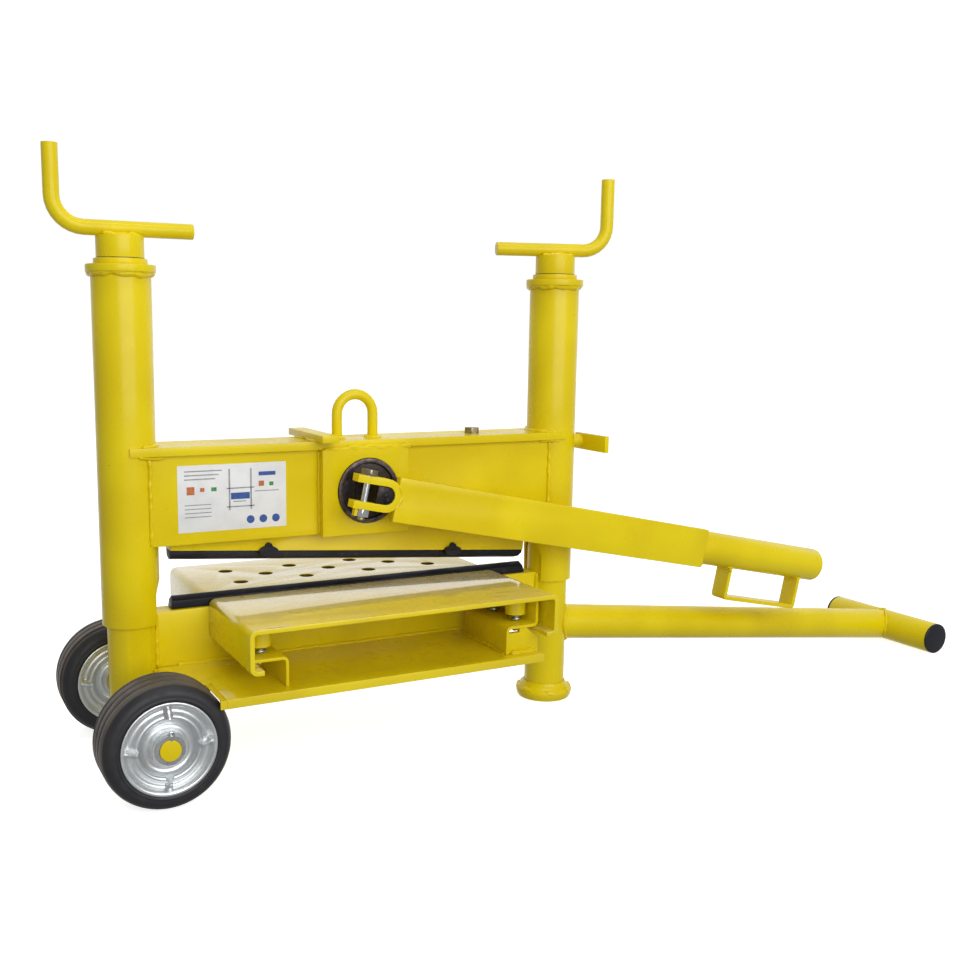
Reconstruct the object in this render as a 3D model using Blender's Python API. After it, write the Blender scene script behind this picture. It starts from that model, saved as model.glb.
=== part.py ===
"""Manual block and kerb splitter: a lever guillotine on two wheels, modelled part by part.

Units are metres, +Z is up and the ground is Z = 0. X runs along the cutting line, from the wheels
to the long support arm. The lever and the front table are on the -Y side.

Every piece is drawn in machine coordinates, measured from the axis of the left post, or in the
local coordinates of the joint it turns on. One empty holds the whole machine and moves its
bounding box to the centre of the world.
"""

import math

import bmesh
import bpy
from mathutils import Matrix, Vector

GAP = 0.0003

# Posts and the sleeves that slide on them
POST_SPACING = 0.527
POST_R = 0.0255
POST_BORE_R = 0.0215
POST_TOP_Z = 0.500
LEFT_POST_FOOT_Z = 0.044
SLEEVE_R = 0.03015
SLEEVE_BORE_R = 0.02655
SLEEVE_Z = (0.157, 0.524)
SLOT_HALF_WIDTH = 0.020
SLOT_TOP_Z = 0.206
COLLAR_R = 0.035
COLLAR_Z = (SLEEVE_Z[1] + GAP, 0.532)

# Lifting screws and their cranks
SCREW_R = 0.011
SCREW_BOTTOM_Z = 0.250
NUT_HEIGHT = 0.022
THRUST_R = 0.027
THRUST_Z = (COLLAR_Z[1] + GAP, 0.538)
HUB_R = 0.024
HUB_Z = (THRUST_Z[1] + GAP, 0.561)
CRANK_ROD_R = 0.008
CRANK_AXIS_Z = 0.568
CRANK_TOP_Z = {"left": 0.647, "right": 0.654}
CRANK_GRIP_X = 0.065
CRANK_TAIL_X = -0.075
CRANK_BEND_R = 0.030
RIGHT_CRANK_TURN = math.radians(-16)

# Lower frame
WEB_HALF_THICK = 0.012
WEB_TOP_Z = 0.168
FLANGE_Z = (0.0975, 0.107)
FLANGE_HALF_WIDTH = 0.146
FLANGE_X = (0.0605, 0.431)
FLANGE_TONGUE_X = 0.018
FLANGE_TONGUE_HALF_WIDTH = 0.0855
FOOT_R = 0.036
FOOT_PLATE_Z = 0.009
FOOT_WELD_Z = 0.021

# Blades
BLADE_HALF_THICK = 0.008
BLADE_EDGE_HALF = 0.0015
LOWER_BLADE_TOP_Z = 0.1815
LOWER_BLADE_FOOT_X = (0.041, 0.488)
LOWER_BLADE_EDGE_X = (0.043, 0.484)
LOWER_BLADE_SIDE_H = 0.0087

# Support arm, resting on a cross tube
ARM_R = 0.02225
ARM_BORE_R = 0.01865
ARM_ROOT = (0.540, 0.0968)
TBAR_X = 1.158
TBAR_HALF = 0.095
PLUG_LIP = 0.003
PLUG_DEPTH = 0.015

# Wheels
AXLE_X = 0.003
WHEEL_R = 0.065
AXLE_R = 0.0107
AXLE_HALF = 0.1485
WHEEL_Y = (0.0875, 0.1450)
RIM_SEAT_R = 0.0475
HUB_BORE_R = 0.0111

# Spring tables
TABLE_X = (0.0805, 0.4405)
TABLE_Y = (0.014, 0.158)
TABLE_TOP_Z = 0.1775
TABLE_LIP_Z = 0.1305
TABLE_LIP = 0.015
TABLE_SHEET = 0.005
TABLE_BEND_R = 0.008
HOLE_R = 0.00875
HOLE_PITCH = 0.0812
HOLE_CENTRE_X = 0.2583
HOLE_ROW_Y = (0.050, 0.081, 0.111)
CUP_R = 0.012
CUP_BORE_R = 0.0093
CUP_BOTTOM_Z = 0.1477
CUP_DX = 0.1535
TABLE_CENTRE_X = 0.25925
CUP_Y = (0.060, 0.110)
SPRING_R = 0.0062
SPRING_WIRE_R = 0.0012
SPRING_TURNS = 5

# Brackets below the tables
BRACKET_Y = (0.036, 0.132)
BRACKET_SHEET = 0.0035
BRACKET_BEND_R = 0.0065
SHELF_TOP_Z = 0.1393
BRACKET_TOP_Z = 0.1645
BRACKET_INNER_X = 0.3885
BRACKET_OUTER_X = 0.4305
GUSSET_Y = (0.125, 0.131)
GUSSET_X = 0.431
GUSSET_CORNER = (0.4135, 0.1232)
GUSSET_NOTCH = (0.4065, 0.131)

# Beam between the sleeves
BEAM_TOP_Z = 0.3465
BEAM_FLANGE_BOTTOM_Z = 0.3375
BEAM_HALF_WIDTH = 0.032
BEAM_X = (-0.003, POST_SPACING + 0.003)
BEAM_WEB_Y = (0.017, 0.025)
BEAM_BOTTOM_Z = 0.2415
SIDE_PLATE_X = (0.205, 0.310)
SIDE_PLATE_Y = 0.037
SIDE_PLATE_Z = (0.240, 0.3372)
CROSS_BAR_X = (0.198, 0.218)
CROSS_BAR_HALF_LENGTH = 0.054
CROSS_BAR_THICK = 0.008
EYE_X = 0.259
EYE_ROD_R = 0.006
EYE_HALF_SPAN = 0.0222
EYE_TOP_Z = 0.402
STOP_BOLT_X = 0.413
STOP_BOLT_R = 0.005
STOP_BOLT_TIP_Z = 0.300
STOP_HEAD_R = 0.0098
STOP_HEAD_H = 0.0064
CLAMP_Z = 0.3312
CLAMP_SCREW_R = 0.0085
CLAMP_PLATE_X = (0.571, 0.5765)
CLAMP_PLATE_Y = (-0.056, 0.0095)
CLAMP_PLATE_HALF_HEIGHT = 0.0102

# Eccentric shaft and lever; the lever's own axes are along, out and across it
SHAFT_X = 0.260
SHAFT_Z = 0.2895
SHAFT_R = 0.0315
JOURNAL_R = 0.017
JOURNAL_HALF = 0.013
BUSH_R = 0.020
BUSH_HALF = 0.012
ECCENTRICITY = 0.008
RING_R = 0.037
RING_FACE_Y = 0.039
LEVER_DROP = math.radians(11.7)
TONGUE_END_Y = -0.076
TONGUE_HALF_HEIGHT = 0.0097
TONGUE_REACH = (-0.007, 0.0147)
FORK_THICK = 0.0084
FORK_INNER_HALF = 0.0103
FORK_START = -0.0325
FORK_BEND = 0.005
FORK_Y = (-0.076, -0.0605)
LEVER_BOLT_S = -0.0175
LEVER_BOLT_R = 0.004
LEVER_BOLT_HEAD_R = 0.0098
BAR_HALF_HEIGHT = 0.025
BAR_OFFSET = -0.0025
BAR_Y = (-0.076, -0.066)
BAR_S = (0.018, 0.472)
GRIP_R = 0.02225
GRIP_BORE_R = 0.01865
GRIP_AXIS_Y = -0.05375
GRIP_S = (0.412, 0.690)
LOOP_S = (0.5307, 0.6624)
LOOP_BOTTOM = -0.0667
LOOP_THICK = 0.005
LOOP_HALF_WIDTH = 0.0125

# Knife, in axes that tilt with it about the eccentric journal
KNIFE_TILT = math.radians(4.56)
KNIFE_AXIS_Z = SHAFT_Z - ECCENTRICITY
KNIFE_X = (-0.215, 0.230)
KNIFE_EDGE_Z = -0.0763
KNIFE_BLADE_H = 0.011
KNIFE_BLADE_SIDE_H = 0.0085
KNIFE_CORNER = (0.008, 0.007)
HOLDER_X = (-0.215, 0.228)
HOLDER_HALF_THICK = 0.012
HOLDER_TOP = -0.020
HANGER_HALF_WIDTH = 0.040
HANGER_TOP = 0.034
BLADE_BOLT_X = (-0.106, 0.127)
BLADE_BOLT_HALF = (0.011, 0.006)
BLADE_BOLT_SHANK_R = 0.004
BLADE_BOLT_FACE_Y = 0.0167

# The bounding box in X runs from the left crank's grip to the far side of the cross tube.
BOX_CENTRE_X = (TBAR_X + ARM_R - CRANK_GRIP_X - CRANK_ROD_R) / 2


# ---------------------------------------------------------------- scene and materials
def clear_scene():
    for obj in list(bpy.data.objects):
        bpy.data.objects.remove(obj)


def make_material(name, colour, roughness, metallic):
    mat = bpy.data.materials.new(name)
    mat.use_nodes = True
    shader = mat.node_tree.nodes["Principled BSDF"]
    shader.inputs["Base Color"].default_value = (*colour, 1)
    shader.inputs["Roughness"].default_value = roughness
    shader.inputs["Metallic"].default_value = metallic
    return mat


FINISHES = {
    "paint": ((0.80, 0.66, 0.02), 0.35, 0.0),
    "blade": ((0.012, 0.012, 0.018), 0.45, 0.6),
    "shaft": ((0.05, 0.045, 0.045), 0.4, 0.9),
    "zinc": ((0.62, 0.64, 0.66), 0.3, 1.0),
    "rubber": ((0.02, 0.02, 0.022), 0.7, 0.0),
    "plastic": ((0.012, 0.012, 0.014), 0.5, 0.0),
}


def group(name, parent, location=(0, 0, 0), turn=None):
    """An empty on a joint's axis; pieces under it are drawn in its own coordinates."""
    empty = bpy.data.objects.new(name, None)
    bpy.context.scene.collection.objects.link(empty)
    empty.parent = parent
    empty.location = location
    if turn:
        axis, angle = turn
        empty.rotation_euler["XYZ".index(axis)] = angle
    return empty


def add_object(name, bm, parent, finish=None):
    bmesh.ops.recalc_face_normals(bm, faces=bm.faces)
    mesh = bpy.data.meshes.new(name)
    bm.to_mesh(mesh)
    bm.free()
    obj = bpy.data.objects.new(name, mesh)
    bpy.context.scene.collection.objects.link(obj)
    obj.parent = parent
    if finish:
        obj.data.materials.append(make_material(f"{name}_{finish}", *FINISHES[finish]))
        mesh.shade_smooth()
        mesh.set_sharp_from_angle(angle=math.radians(35))
    return obj


def cut(obj, bm, operation="DIFFERENCE"):
    """Applies a Boolean with a hidden tool object made from bm."""
    tool = add_object(f"{obj.name}_tool", bm, obj.parent)
    tool.hide_render = True
    tool.display_type = "WIRE"
    modifier = obj.modifiers.new(operation.title(), "BOOLEAN")
    modifier.operation = operation
    modifier.object = tool
    return obj


def join(obj, bm):
    return cut(obj, bm, "UNION")


# ---------------------------------------------------------------- shapes
AXES = {
    "X": Matrix(((0, 0, 1), (1, 0, 0), (0, 1, 0))),
    "Y": Matrix(((1, 0, 0), (0, 0, 1), (0, 1, 0))),
    "Z": Matrix.Identity(3),
}


def prism(outline, low, high, axis="Y", bm=None):
    """A flat outline pushed out along an axis: (x, z) along Y, (x, y) along Z or (y, z) along X."""
    bm = bm or bmesh.new()
    to_world = AXES[axis]
    ends = [
        [bm.verts.new(to_world @ Vector((a, b, level))) for a, b in outline]
        for level in (low, high)
    ]
    bm.faces.new(ends[0])
    bm.faces.new(reversed(ends[1]))
    for i in range(len(outline)):
        j = (i + 1) % len(outline)
        bm.faces.new((ends[0][i], ends[0][j], ends[1][j], ends[1][i]))
    return bm


def rectangle(a, b):
    return [(a[0], b[0]), (a[1], b[0]), (a[1], b[1]), (a[0], b[1])]


def box(x, y, z, bm=None):
    return prism(rectangle(x, y), z[0], z[1], "Z", bm)


def arc(centre, radius, start, stop, steps):
    """Points on an arc, from start to stop in degrees."""
    return [
        (centre[0] + radius * math.cos(math.radians(a)), centre[1] + radius * math.sin(math.radians(a)))
        for a in (start + (stop - start) * i / steps for i in range(steps + 1))
    ]


def turned(profile, axis="Z", centre=(0, 0, 0), sides=40, bm=None):
    """Turns (radius, height) points round an axis; the profile is a closed ring or ends on the axis."""
    bm = bm or bmesh.new()
    to_world = AXES[axis]
    rings = []
    for radius, height in profile:
        if radius == 0:
            rings.append([bm.verts.new(to_world @ Vector((0, 0, height)) + Vector(centre))])
            continue
        rings.append(
            [
                bm.verts.new(
                    to_world
                    @ Vector(
                        (radius * math.cos(2 * math.pi * k / sides),
                            radius * math.sin(2 * math.pi * k / sides), height)
                    )
                    + Vector(centre)
                )
                for k in range(sides)
            ]
        )
    on_axis = len(rings[0]) == 1 and len(rings[-1]) == 1
    pairs = zip(rings, rings[1:]) if on_axis else zip(rings, rings[1:] + rings[:1])
    for low, high in pairs:
        for k in range(sides):
            j = (k + 1) % sides
            if len(low) == 1:
                bm.faces.new((low[0], high[j], high[k]))
            elif len(high) == 1:
                bm.faces.new((low[k], low[j], high[0]))
            else:
                bm.faces.new((low[k], low[j], high[j], high[k]))
    return bm


def cylinder(radius, low, high, axis="Z", centre=(0, 0, 0), sides=40, bm=None):
    return turned([(0, low), (radius, low), (radius, high), (0, high)], axis, centre, sides, bm)


def tube(radius, bore, low, high, axis="Z", centre=(0, 0, 0), sides=40, bm=None):
    return turned([(radius, low), (radius, high), (bore, high), (bore, low)], axis, centre, sides, bm)


def swept(path, radius, side, sides=12, bm=None):
    """A round rod along a flat path; side is the unit normal of the path's plane."""
    bm = bm or bmesh.new()
    path = [Vector(p) for p in path]
    side = Vector(side)
    rings = []
    for i, point in enumerate(path):
        ahead = (path[min(i + 1, len(path) - 1)] - path[max(i - 1, 0)]).normalized()
        out = side.cross(ahead)
        rings.append(
            [
                bm.verts.new(
                    point
                    + radius * math.cos(2 * math.pi * k / sides) * out
                    + radius * math.sin(2 * math.pi * k / sides) * side
                )
                for k in range(sides)
            ]
        )
    for low, high in zip(rings, rings[1:]):
        for k in range(sides):
            j = (k + 1) % sides
            bm.faces.new((low[k], low[j], high[j], high[k]))
    bm.faces.new(reversed(rings[0]))
    bm.faces.new(rings[-1])
    return bm


def bent_sheet(corners, thickness, bend_radius, steps=4):
    """The outline of a bent sheet: the outer line through corners, rounded, and its inner offset."""
    outer, inner = [], []
    for i, corner in enumerate(corners):
        corner = Vector(corner)
        if i in (0, len(corners) - 1):
            other = Vector(corners[1 if i == 0 else i - 1])
            along = (other - corner if i == 0 else corner - other).normalized()
            left = Vector((-along.y, along.x))
            outer.append(tuple(corner))
            inner.append(tuple(corner + thickness * left))
            continue
        before = (corner - Vector(corners[i - 1])).normalized()
        after = (Vector(corners[i + 1]) - corner).normalized()
        turn = before.x * after.y - before.y * after.x
        # The sheet lies left of the line, so a left turn has the line on the outside of the bend.
        outside = bend_radius if turn > 0 else bend_radius - thickness
        toward = (after - before).normalized()
        centre = corner + toward * outside * math.sqrt(2)
        first = math.degrees(math.atan2(*(-(after if turn > 0 else after)).yx))
        last = math.degrees(math.atan2(*before.yx))
        last += 360 * round((first - last) / 360)
        offset = -thickness if turn > 0 else thickness
        outer += arc(centre, outside, first, last, steps)
        inner += arc(centre, outside + offset, first, last, steps)
    return outer + inner[::-1]


def mirrored(outline, centre_x):
    return [(2 * centre_x - a, b) for a, b in outline]


# ---------------------------------------------------------------- lower frame
def build_posts(frame):
    """Each post is a tube with the lifting screw's nut welded into its top."""
    top, bore = POST_TOP_Z, SCREW_R + GAP
    nut_z = top - NUT_HEIGHT
    for side, x, foot in (("left", 0, LEFT_POST_FOOT_Z), ("right", POST_SPACING, FOOT_PLATE_Z + GAP)):
        profile = [(POST_R, foot), (POST_R, top), (bore, top), (bore, nut_z), (POST_BORE_R, nut_z),
            (POST_BORE_R, foot)]
        post = add_object(f"{side}_post", turned(profile, centre=(x, 0, 0)), frame, "paint")
        if side == "left":
            cut(post, cylinder(AXLE_R + GAP, -0.05, 0.05, "Y", (AXLE_X, 0, WHEEL_R), 24))


def build_foot(frame):
    shelf = FOOT_PLATE_Z
    lip = POST_R + GAP
    profile = [(0, 0), (FOOT_R, 0), (FOOT_R, shelf), (lip + 0.0015, FOOT_WELD_Z), (lip, FOOT_WELD_Z),
        (lip, shelf), (0, shelf)]
    add_object("foot_disc", turned(profile, centre=(POST_SPACING, 0, 0)), frame, "paint")


def build_lower_beam(frame):
    web = box((0.010, POST_SPACING - 0.010), (-WEB_HALF_THICK, WEB_HALF_THICK), (FLANGE_Z[1] + GAP,
        WEB_TOP_Z))
    web = add_object("lower_web", web, frame, "paint")
    posts = cylinder(POST_R + GAP, 0.05, 0.30)
    cut(web, cylinder(POST_R + GAP, 0.05, 0.30, centre=(POST_SPACING, 0, 0), bm=posts))

    # Between the wheels the flange narrows and runs on to the left post.
    wide, narrow = FLANGE_HALF_WIDTH, FLANGE_TONGUE_HALF_WIDTH
    left, right = FLANGE_X
    half = [(FLANGE_TONGUE_X, -narrow), (left, -narrow), (left, -wide), (right, -wide)]
    outline = half + [(x, -y) for x, y in reversed(half)]
    flange = add_object("lower_flange", prism(outline, *FLANGE_Z, "Z"), frame, "paint")
    cut(flange, cylinder(POST_R + GAP, 0.05, 0.15))

    foot_z = WEB_TOP_Z + GAP
    shoulder_z = foot_z + LOWER_BLADE_SIDE_H
    add_object(
        "lower_blade",
        blade_solid(LOWER_BLADE_FOOT_X, LOWER_BLADE_EDGE_X, foot_z, shoulder_z, LOWER_BLADE_TOP_Z),
        frame,
        "blade",
    )


def blade_solid(base_x, edge_x, base_z, shoulder_z, edge_z):
    """A bar with a roof-shaped cutting edge, and ends that lean in from base to edge."""
    bm = bmesh.new()
    half = BLADE_HALF_THICK
    shoulder = [b + (e - b) * (shoulder_z - base_z) / (edge_z - base_z) for b, e in zip(base_x, edge_x)]
    ends = []
    for i in (0, 1):
        ends.append(
            [
                bm.verts.new(p)
                for p in (
                    (base_x[i], -half, base_z),
                    (base_x[i], half, base_z),
                    (shoulder[i], half, shoulder_z),
                    (edge_x[i], BLADE_EDGE_HALF, edge_z),
                    (edge_x[i], -BLADE_EDGE_HALF, edge_z),
                    (shoulder[i], -half, shoulder_z),
                )
            ]
        )
    bm.faces.new(ends[0])
    bm.faces.new(reversed(ends[1]))
    for k in range(6):
        j = (k + 1) % 6
        bm.faces.new((ends[0][k], ends[0][j], ends[1][j], ends[1][k]))
    return bm


def build_brackets(frame):
    foot_z = FLANGE_Z[1] + GAP
    line = [
        (BRACKET_INNER_X, foot_z),
        (BRACKET_INNER_X, SHELF_TOP_Z),
        (BRACKET_OUTER_X - BRACKET_SHEET, SHELF_TOP_Z),
        (BRACKET_OUTER_X - BRACKET_SHEET, BRACKET_TOP_Z),
    ]
    # The sheet lies to the right of this line as it climbs, so it is walked from the top down.
    outline = bent_sheet(line[::-1], BRACKET_SHEET, BRACKET_BEND_R)
    under = SHELF_TOP_Z - BRACKET_SHEET + 0.0005
    inside = BRACKET_INNER_X + BRACKET_SHEET - 0.0005
    corner_x, corner_z = GUSSET_CORNER
    notch_x, notch_z = GUSSET_NOTCH
    gusset = [
        (inside, foot_z), (GUSSET_X, foot_z), (GUSSET_X, corner_z), (corner_x, under),
        (notch_x, under), (notch_x, notch_z), (inside, notch_z),
    ]  # fmt: skip
    for row, sign in (("front", -1), ("rear", 1)):
        low, high = sorted((sign * BRACKET_Y[0], sign * BRACKET_Y[1]))
        left = prism(mirrored(outline, TABLE_CENTRE_X), low, high)
        add_object(f"{row}_left_spring_bracket", left, frame, "paint")
        right = add_object(f"{row}_right_spring_bracket", prism(outline, low, high), frame, "paint")
        join(right, prism(gusset, *sorted((sign * GUSSET_Y[0], sign * GUSSET_Y[1]))))


def build_support_arm(frame):
    root = Vector((ARM_ROOT[0], 0, ARM_ROOT[1]))
    end = Vector((TBAR_X, 0, ARM_R))
    length = (end - root).length
    drop = math.atan2(root.z - end.z, end.x - root.x)
    place = Matrix.Translation(root) @ Matrix.Rotation(drop, 4, "Y")
    arm_mesh = tube(ARM_R, ARM_BORE_R, -0.010, length, "X")
    arm_mesh.transform(place)
    arm = add_object("support_arm", arm_mesh, frame, "paint")
    ends = cylinder(POST_R + GAP, 0.02, 0.25, centre=(POST_SPACING, 0, 0))
    ends = cylinder(ARM_R + GAP, -0.06, 0.06, "Y", (TBAR_X, 0, ARM_R), bm=ends)
    cut(arm, ends)
    face = TBAR_HALF - PLUG_LIP - GAP
    add_object("cross_tube", tube(ARM_R, ARM_BORE_R, -face, face, "Y", (TBAR_X, 0, ARM_R)), frame, "paint")
    for side, sign in (("front", -1), ("rear", 1)):
        lip, inner = sign * (TBAR_HALF - PLUG_LIP), sign * (TBAR_HALF - PLUG_LIP - PLUG_DEPTH)
        bore = ARM_BORE_R - GAP
        profile = [(0, sign * TBAR_HALF), (ARM_R, sign * TBAR_HALF), (ARM_R, lip), (bore, lip), (bore,
            inner), (0, inner)]
        add_object(f"{side}_end_plug", turned(profile, "Y", (TBAR_X, 0, ARM_R), 32), frame, "plastic")


def build_wheels(frame):
    axle = cylinder(AXLE_R, -AXLE_HALF, AXLE_HALF, "Y", (AXLE_X, 0, WHEEL_R), 24)
    add_object("axle", axle, frame, "paint")
    inner, outer = WHEEL_Y
    tyre = [
        (RIM_SEAT_R + GAP, inner), (WHEEL_R - 0.010, inner), (WHEEL_R - 0.0035, inner + 0.005),
        (WHEEL_R, inner + 0.015), (WHEEL_R, outer - 0.015), (WHEEL_R - 0.0035, outer - 0.005),
        (WHEEL_R - 0.010, outer), (RIM_SEAT_R + GAP, outer),
    ]  # fmt: skip
    dish = (inner + outer) / 2
    rim = [
        (RIM_SEAT_R, inner), (RIM_SEAT_R, outer), (0.0445, outer), (0.041, outer - 0.008),
        (0.035, outer - 0.008), (0.031, outer - 0.004), (0.025, outer - 0.004), (0.019, outer - 0.010),
        (0.018, outer + 0.001), (HUB_BORE_R, outer + 0.001), (HUB_BORE_R, inner - 0.001),
        (0.018, inner - 0.001), (0.019, dish - 0.003), (0.044, dish - 0.003), (0.044, inner),
    ]  # fmt: skip
    for side, sign in (("front", -1), ("rear", 1)):
        wheel = group(f"{side}_wheel_axis", frame, (AXLE_X, 0, WHEEL_R))
        add_object(f"{side}_tyre", turned([(r, sign * y) for r, y in tyre], "Y"), wheel, "rubber")
        add_object(f"{side}_wheel_rim", turned([(r, sign * y) for r, y in rim], "Y"), wheel, "zinc")


# ---------------------------------------------------------------- spring tables
def build_tables(frame):
    left, right = TABLE_X
    line = [
        (left + TABLE_LIP, TABLE_LIP_Z), (left, TABLE_LIP_Z), (left, TABLE_TOP_Z),
        (right, TABLE_TOP_Z), (right, TABLE_LIP_Z), (right - TABLE_LIP, TABLE_LIP_Z),
    ]  # fmt: skip
    # Walked clockwise the sheet would lie outside, so the line is reversed.
    outline = bent_sheet(line[::-1], TABLE_SHEET, TABLE_BEND_R)
    for row, sign in (("front", -1), ("rear", 1)):
        table_axis = group(f"{row}_table_slide", frame)
        low, high = sorted((sign * TABLE_Y[0], sign * TABLE_Y[1]))
        table = add_object(f"{row}_table", prism(outline, low, high), table_axis, "paint")
        cups, springs = bmesh.new(), []
        for x in (TABLE_CENTRE_X - CUP_DX, TABLE_CENTRE_X + CUP_DX):
            for y in CUP_Y:
                top = TABLE_TOP_Z - TABLE_SHEET + 0.0005
                tube(CUP_R, CUP_BORE_R, CUP_BOTTOM_Z, top, centre=(x, sign * y, 0), sides=24, bm=cups)
                springs.append((x, sign * y))
        join(table, cups)
        if row == "rear":
            cut(table, table_holes())
        for (x, y), name in zip(springs, ("left_inner", "left_outer", "right_inner", "right_outer")):
            add_object(f"{row}_{name}_spring", coil_spring(x, y), frame, "zinc")


def table_holes():
    holes = bmesh.new()
    low, high = TABLE_TOP_Z - 2 * TABLE_SHEET, TABLE_TOP_Z + 0.005
    for y, count in zip(HOLE_ROW_Y, (4, 3, 4)):
        for i in range(count):
            x = HOLE_CENTRE_X + HOLE_PITCH * (i - (count - 1) / 2)
            cylinder(HOLE_R, low, high, centre=(x, y, 0), sides=20, bm=holes)
    return holes


def coil_spring(x, y):
    """A helix of round wire between the bracket shelf and the table."""
    low = SHELF_TOP_Z + GAP + SPRING_WIRE_R
    high = TABLE_TOP_Z - TABLE_SHEET - GAP - SPRING_WIRE_R
    steps, sides = 10 * SPRING_TURNS, 5
    bm = bmesh.new()
    rings = []
    for i in range(steps + 1):
        angle = 2 * math.pi * SPRING_TURNS * i / steps
        out = Vector((math.cos(angle), math.sin(angle), 0))
        centre = Vector((x, y, low + (high - low) * i / steps)) + SPRING_R * out
        rings.append(
            [
                bm.verts.new(
                    centre
                    + SPRING_WIRE_R * (math.cos(2 * math.pi * k / sides) * Vector((0, 0,
                        1)) + math.sin(2 * math.pi * k / sides) * out)
                )
                for k in range(sides)
            ]
        )
    for a, b in zip(rings, rings[1:]):
        for k in range(sides):
            j = (k + 1) % sides
            bm.faces.new((a[k], a[j], b[j], b[k]))
    bm.faces.new(reversed(rings[0]))
    bm.faces.new(rings[-1])
    return bm


# ---------------------------------------------------------------- beam on its sleeves
def build_sleeves(beam):
    for side, x, inward in (("left", 0, 1), ("right", POST_SPACING, -1)):
        sleeve = add_object(f"{side}_sleeve", tube(SLEEVE_R, SLEEVE_BORE_R, *SLEEVE_Z, centre=(x, 0,
            0)), beam, "paint")
        shoulder = SLOT_TOP_Z - SLOT_HALF_WIDTH
        foot = SLEEVE_Z[0] - 0.01
        slot = [(SLOT_HALF_WIDTH, foot)] + arc((0, shoulder), SLOT_HALF_WIDTH, 0, 180,
            16) + [(-SLOT_HALF_WIDTH, foot)]
        reach = sorted((x, x + inward * (SLEEVE_R + 0.01)))
        cut(sleeve, prism(slot, *reach, "X"))
        if side == "right":
            hole = cylinder(CLAMP_SCREW_R + GAP, x + 0.02, x + 0.04, "X", (0, 0, CLAMP_Z), 24)
            cut(sleeve, hole)
        collar = tube(COLLAR_R, SCREW_R + 0.001, *COLLAR_Z, centre=(x, 0, 0))
        add_object(f"{side}_collar", collar, beam, "paint")


def both_sleeves(low, high):
    bm = cylinder(SLEEVE_R + GAP, low, high)
    return cylinder(SLEEVE_R + GAP, low, high, centre=(POST_SPACING, 0, 0), bm=bm)


def build_beam(beam):
    flange = box(BEAM_X, (-BEAM_HALF_WIDTH, BEAM_HALF_WIDTH), (BEAM_FLANGE_BOTTOM_Z, BEAM_TOP_Z))
    flange = add_object("beam_top_flange", flange, beam, "paint")
    cut(flange, both_sleeves(0.30, 0.37))
    cut(flange, cylinder(STOP_BOLT_R + GAP, 0.30, 0.37, centre=(STOP_BOLT_X, 0, 0), sides=20))

    top = BEAM_FLANGE_BOTTOM_Z - GAP
    for row, sign in (("front", -1), ("rear", 1)):
        low, high = sorted((sign * BEAM_WEB_Y[0], sign * BEAM_WEB_Y[1]))
        web = box((0.010, POST_SPACING - 0.010), (low, high), (BEAM_BOTTOM_Z, top))
        web = add_object(f"beam_{row}_web", web, beam, "paint")
        cut(web, both_sleeves(0.22, 0.36))
        cut(web, ring_hole())
        low, high = sorted((sign * (BEAM_WEB_Y[1] + GAP), sign * SIDE_PLATE_Y))
        plate = add_object(f"{row}_side_plate", box(SIDE_PLATE_X, (low, high), SIDE_PLATE_Z), beam, "paint")
        cut(plate, ring_hole())
        low, high = sorted((sign * BEAM_WEB_Y[0], sign * RING_FACE_Y))
        ring = tube(RING_R, SHAFT_R + GAP, low, high, "Y", (SHAFT_X, 0, SHAFT_Z), 48)
        add_object(f"{row}_bearing_ring", ring, beam, "shaft")


def ring_hole():
    return cylinder(RING_R + GAP, -0.06, 0.06, "Y", (SHAFT_X, 0, SHAFT_Z), 48)


def build_beam_fittings(beam):
    seat = BEAM_TOP_Z + GAP
    bar = box(CROSS_BAR_X, (-CROSS_BAR_HALF_LENGTH, CROSS_BAR_HALF_LENGTH), (seat, seat + CROSS_BAR_THICK))
    add_object("cross_bar", bar, beam, "paint")

    crown = EYE_TOP_Z - EYE_ROD_R - EYE_HALF_SPAN
    bend = arc((EYE_X, crown), EYE_HALF_SPAN, 180, 0, 16)
    path = [(EYE_X - EYE_HALF_SPAN, seat)] + bend + [(EYE_X + EYE_HALF_SPAN, seat)]
    add_object("lifting_eye", swept([(x, 0, z) for x, z in path], EYE_ROD_R, (0, 1, 0)), beam, "paint")

    shank = cylinder(STOP_BOLT_R, STOP_BOLT_TIP_Z, seat + 0.001, centre=(STOP_BOLT_X, 0, 0), sides=20)
    bolt = add_object("stop_bolt", shank, beam, "zinc")
    join(bolt, cylinder(STOP_HEAD_R, seat, seat + STOP_HEAD_H, centre=(STOP_BOLT_X, 0, 0), sides=6))


def build_cranks(beam):
    for side, x, turn in (("left", 0, math.pi), ("right", POST_SPACING, RIGHT_CRANK_TURN)):
        axis = group(f"{side}_crank_axis", beam, (x, 0, 0), ("Z", turn))
        screw = [
            (0, SCREW_BOTTOM_Z), (SCREW_R, SCREW_BOTTOM_Z), (SCREW_R, THRUST_Z[0]),
            (THRUST_R, THRUST_Z[0]), (THRUST_R, THRUST_Z[1]), (0, THRUST_Z[1]),
        ]  # fmt: skip
        add_object(f"{side}_lifting_screw", turned(screw), axis, "zinc")
        crank = add_object(f"{side}_crank", cylinder(HUB_R, *HUB_Z), axis, "paint")
        corner = (CRANK_GRIP_X - CRANK_BEND_R, CRANK_AXIS_Z + CRANK_BEND_R)
        path = [(CRANK_TAIL_X, CRANK_AXIS_Z)] + arc(corner, CRANK_BEND_R, -90, 0, 8) + [(CRANK_GRIP_X,
            CRANK_TOP_Z[side])]
        join(crank, swept([(a, 0, b) for a, b in path], CRANK_ROD_R, (0, 1, 0), 16))


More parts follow.
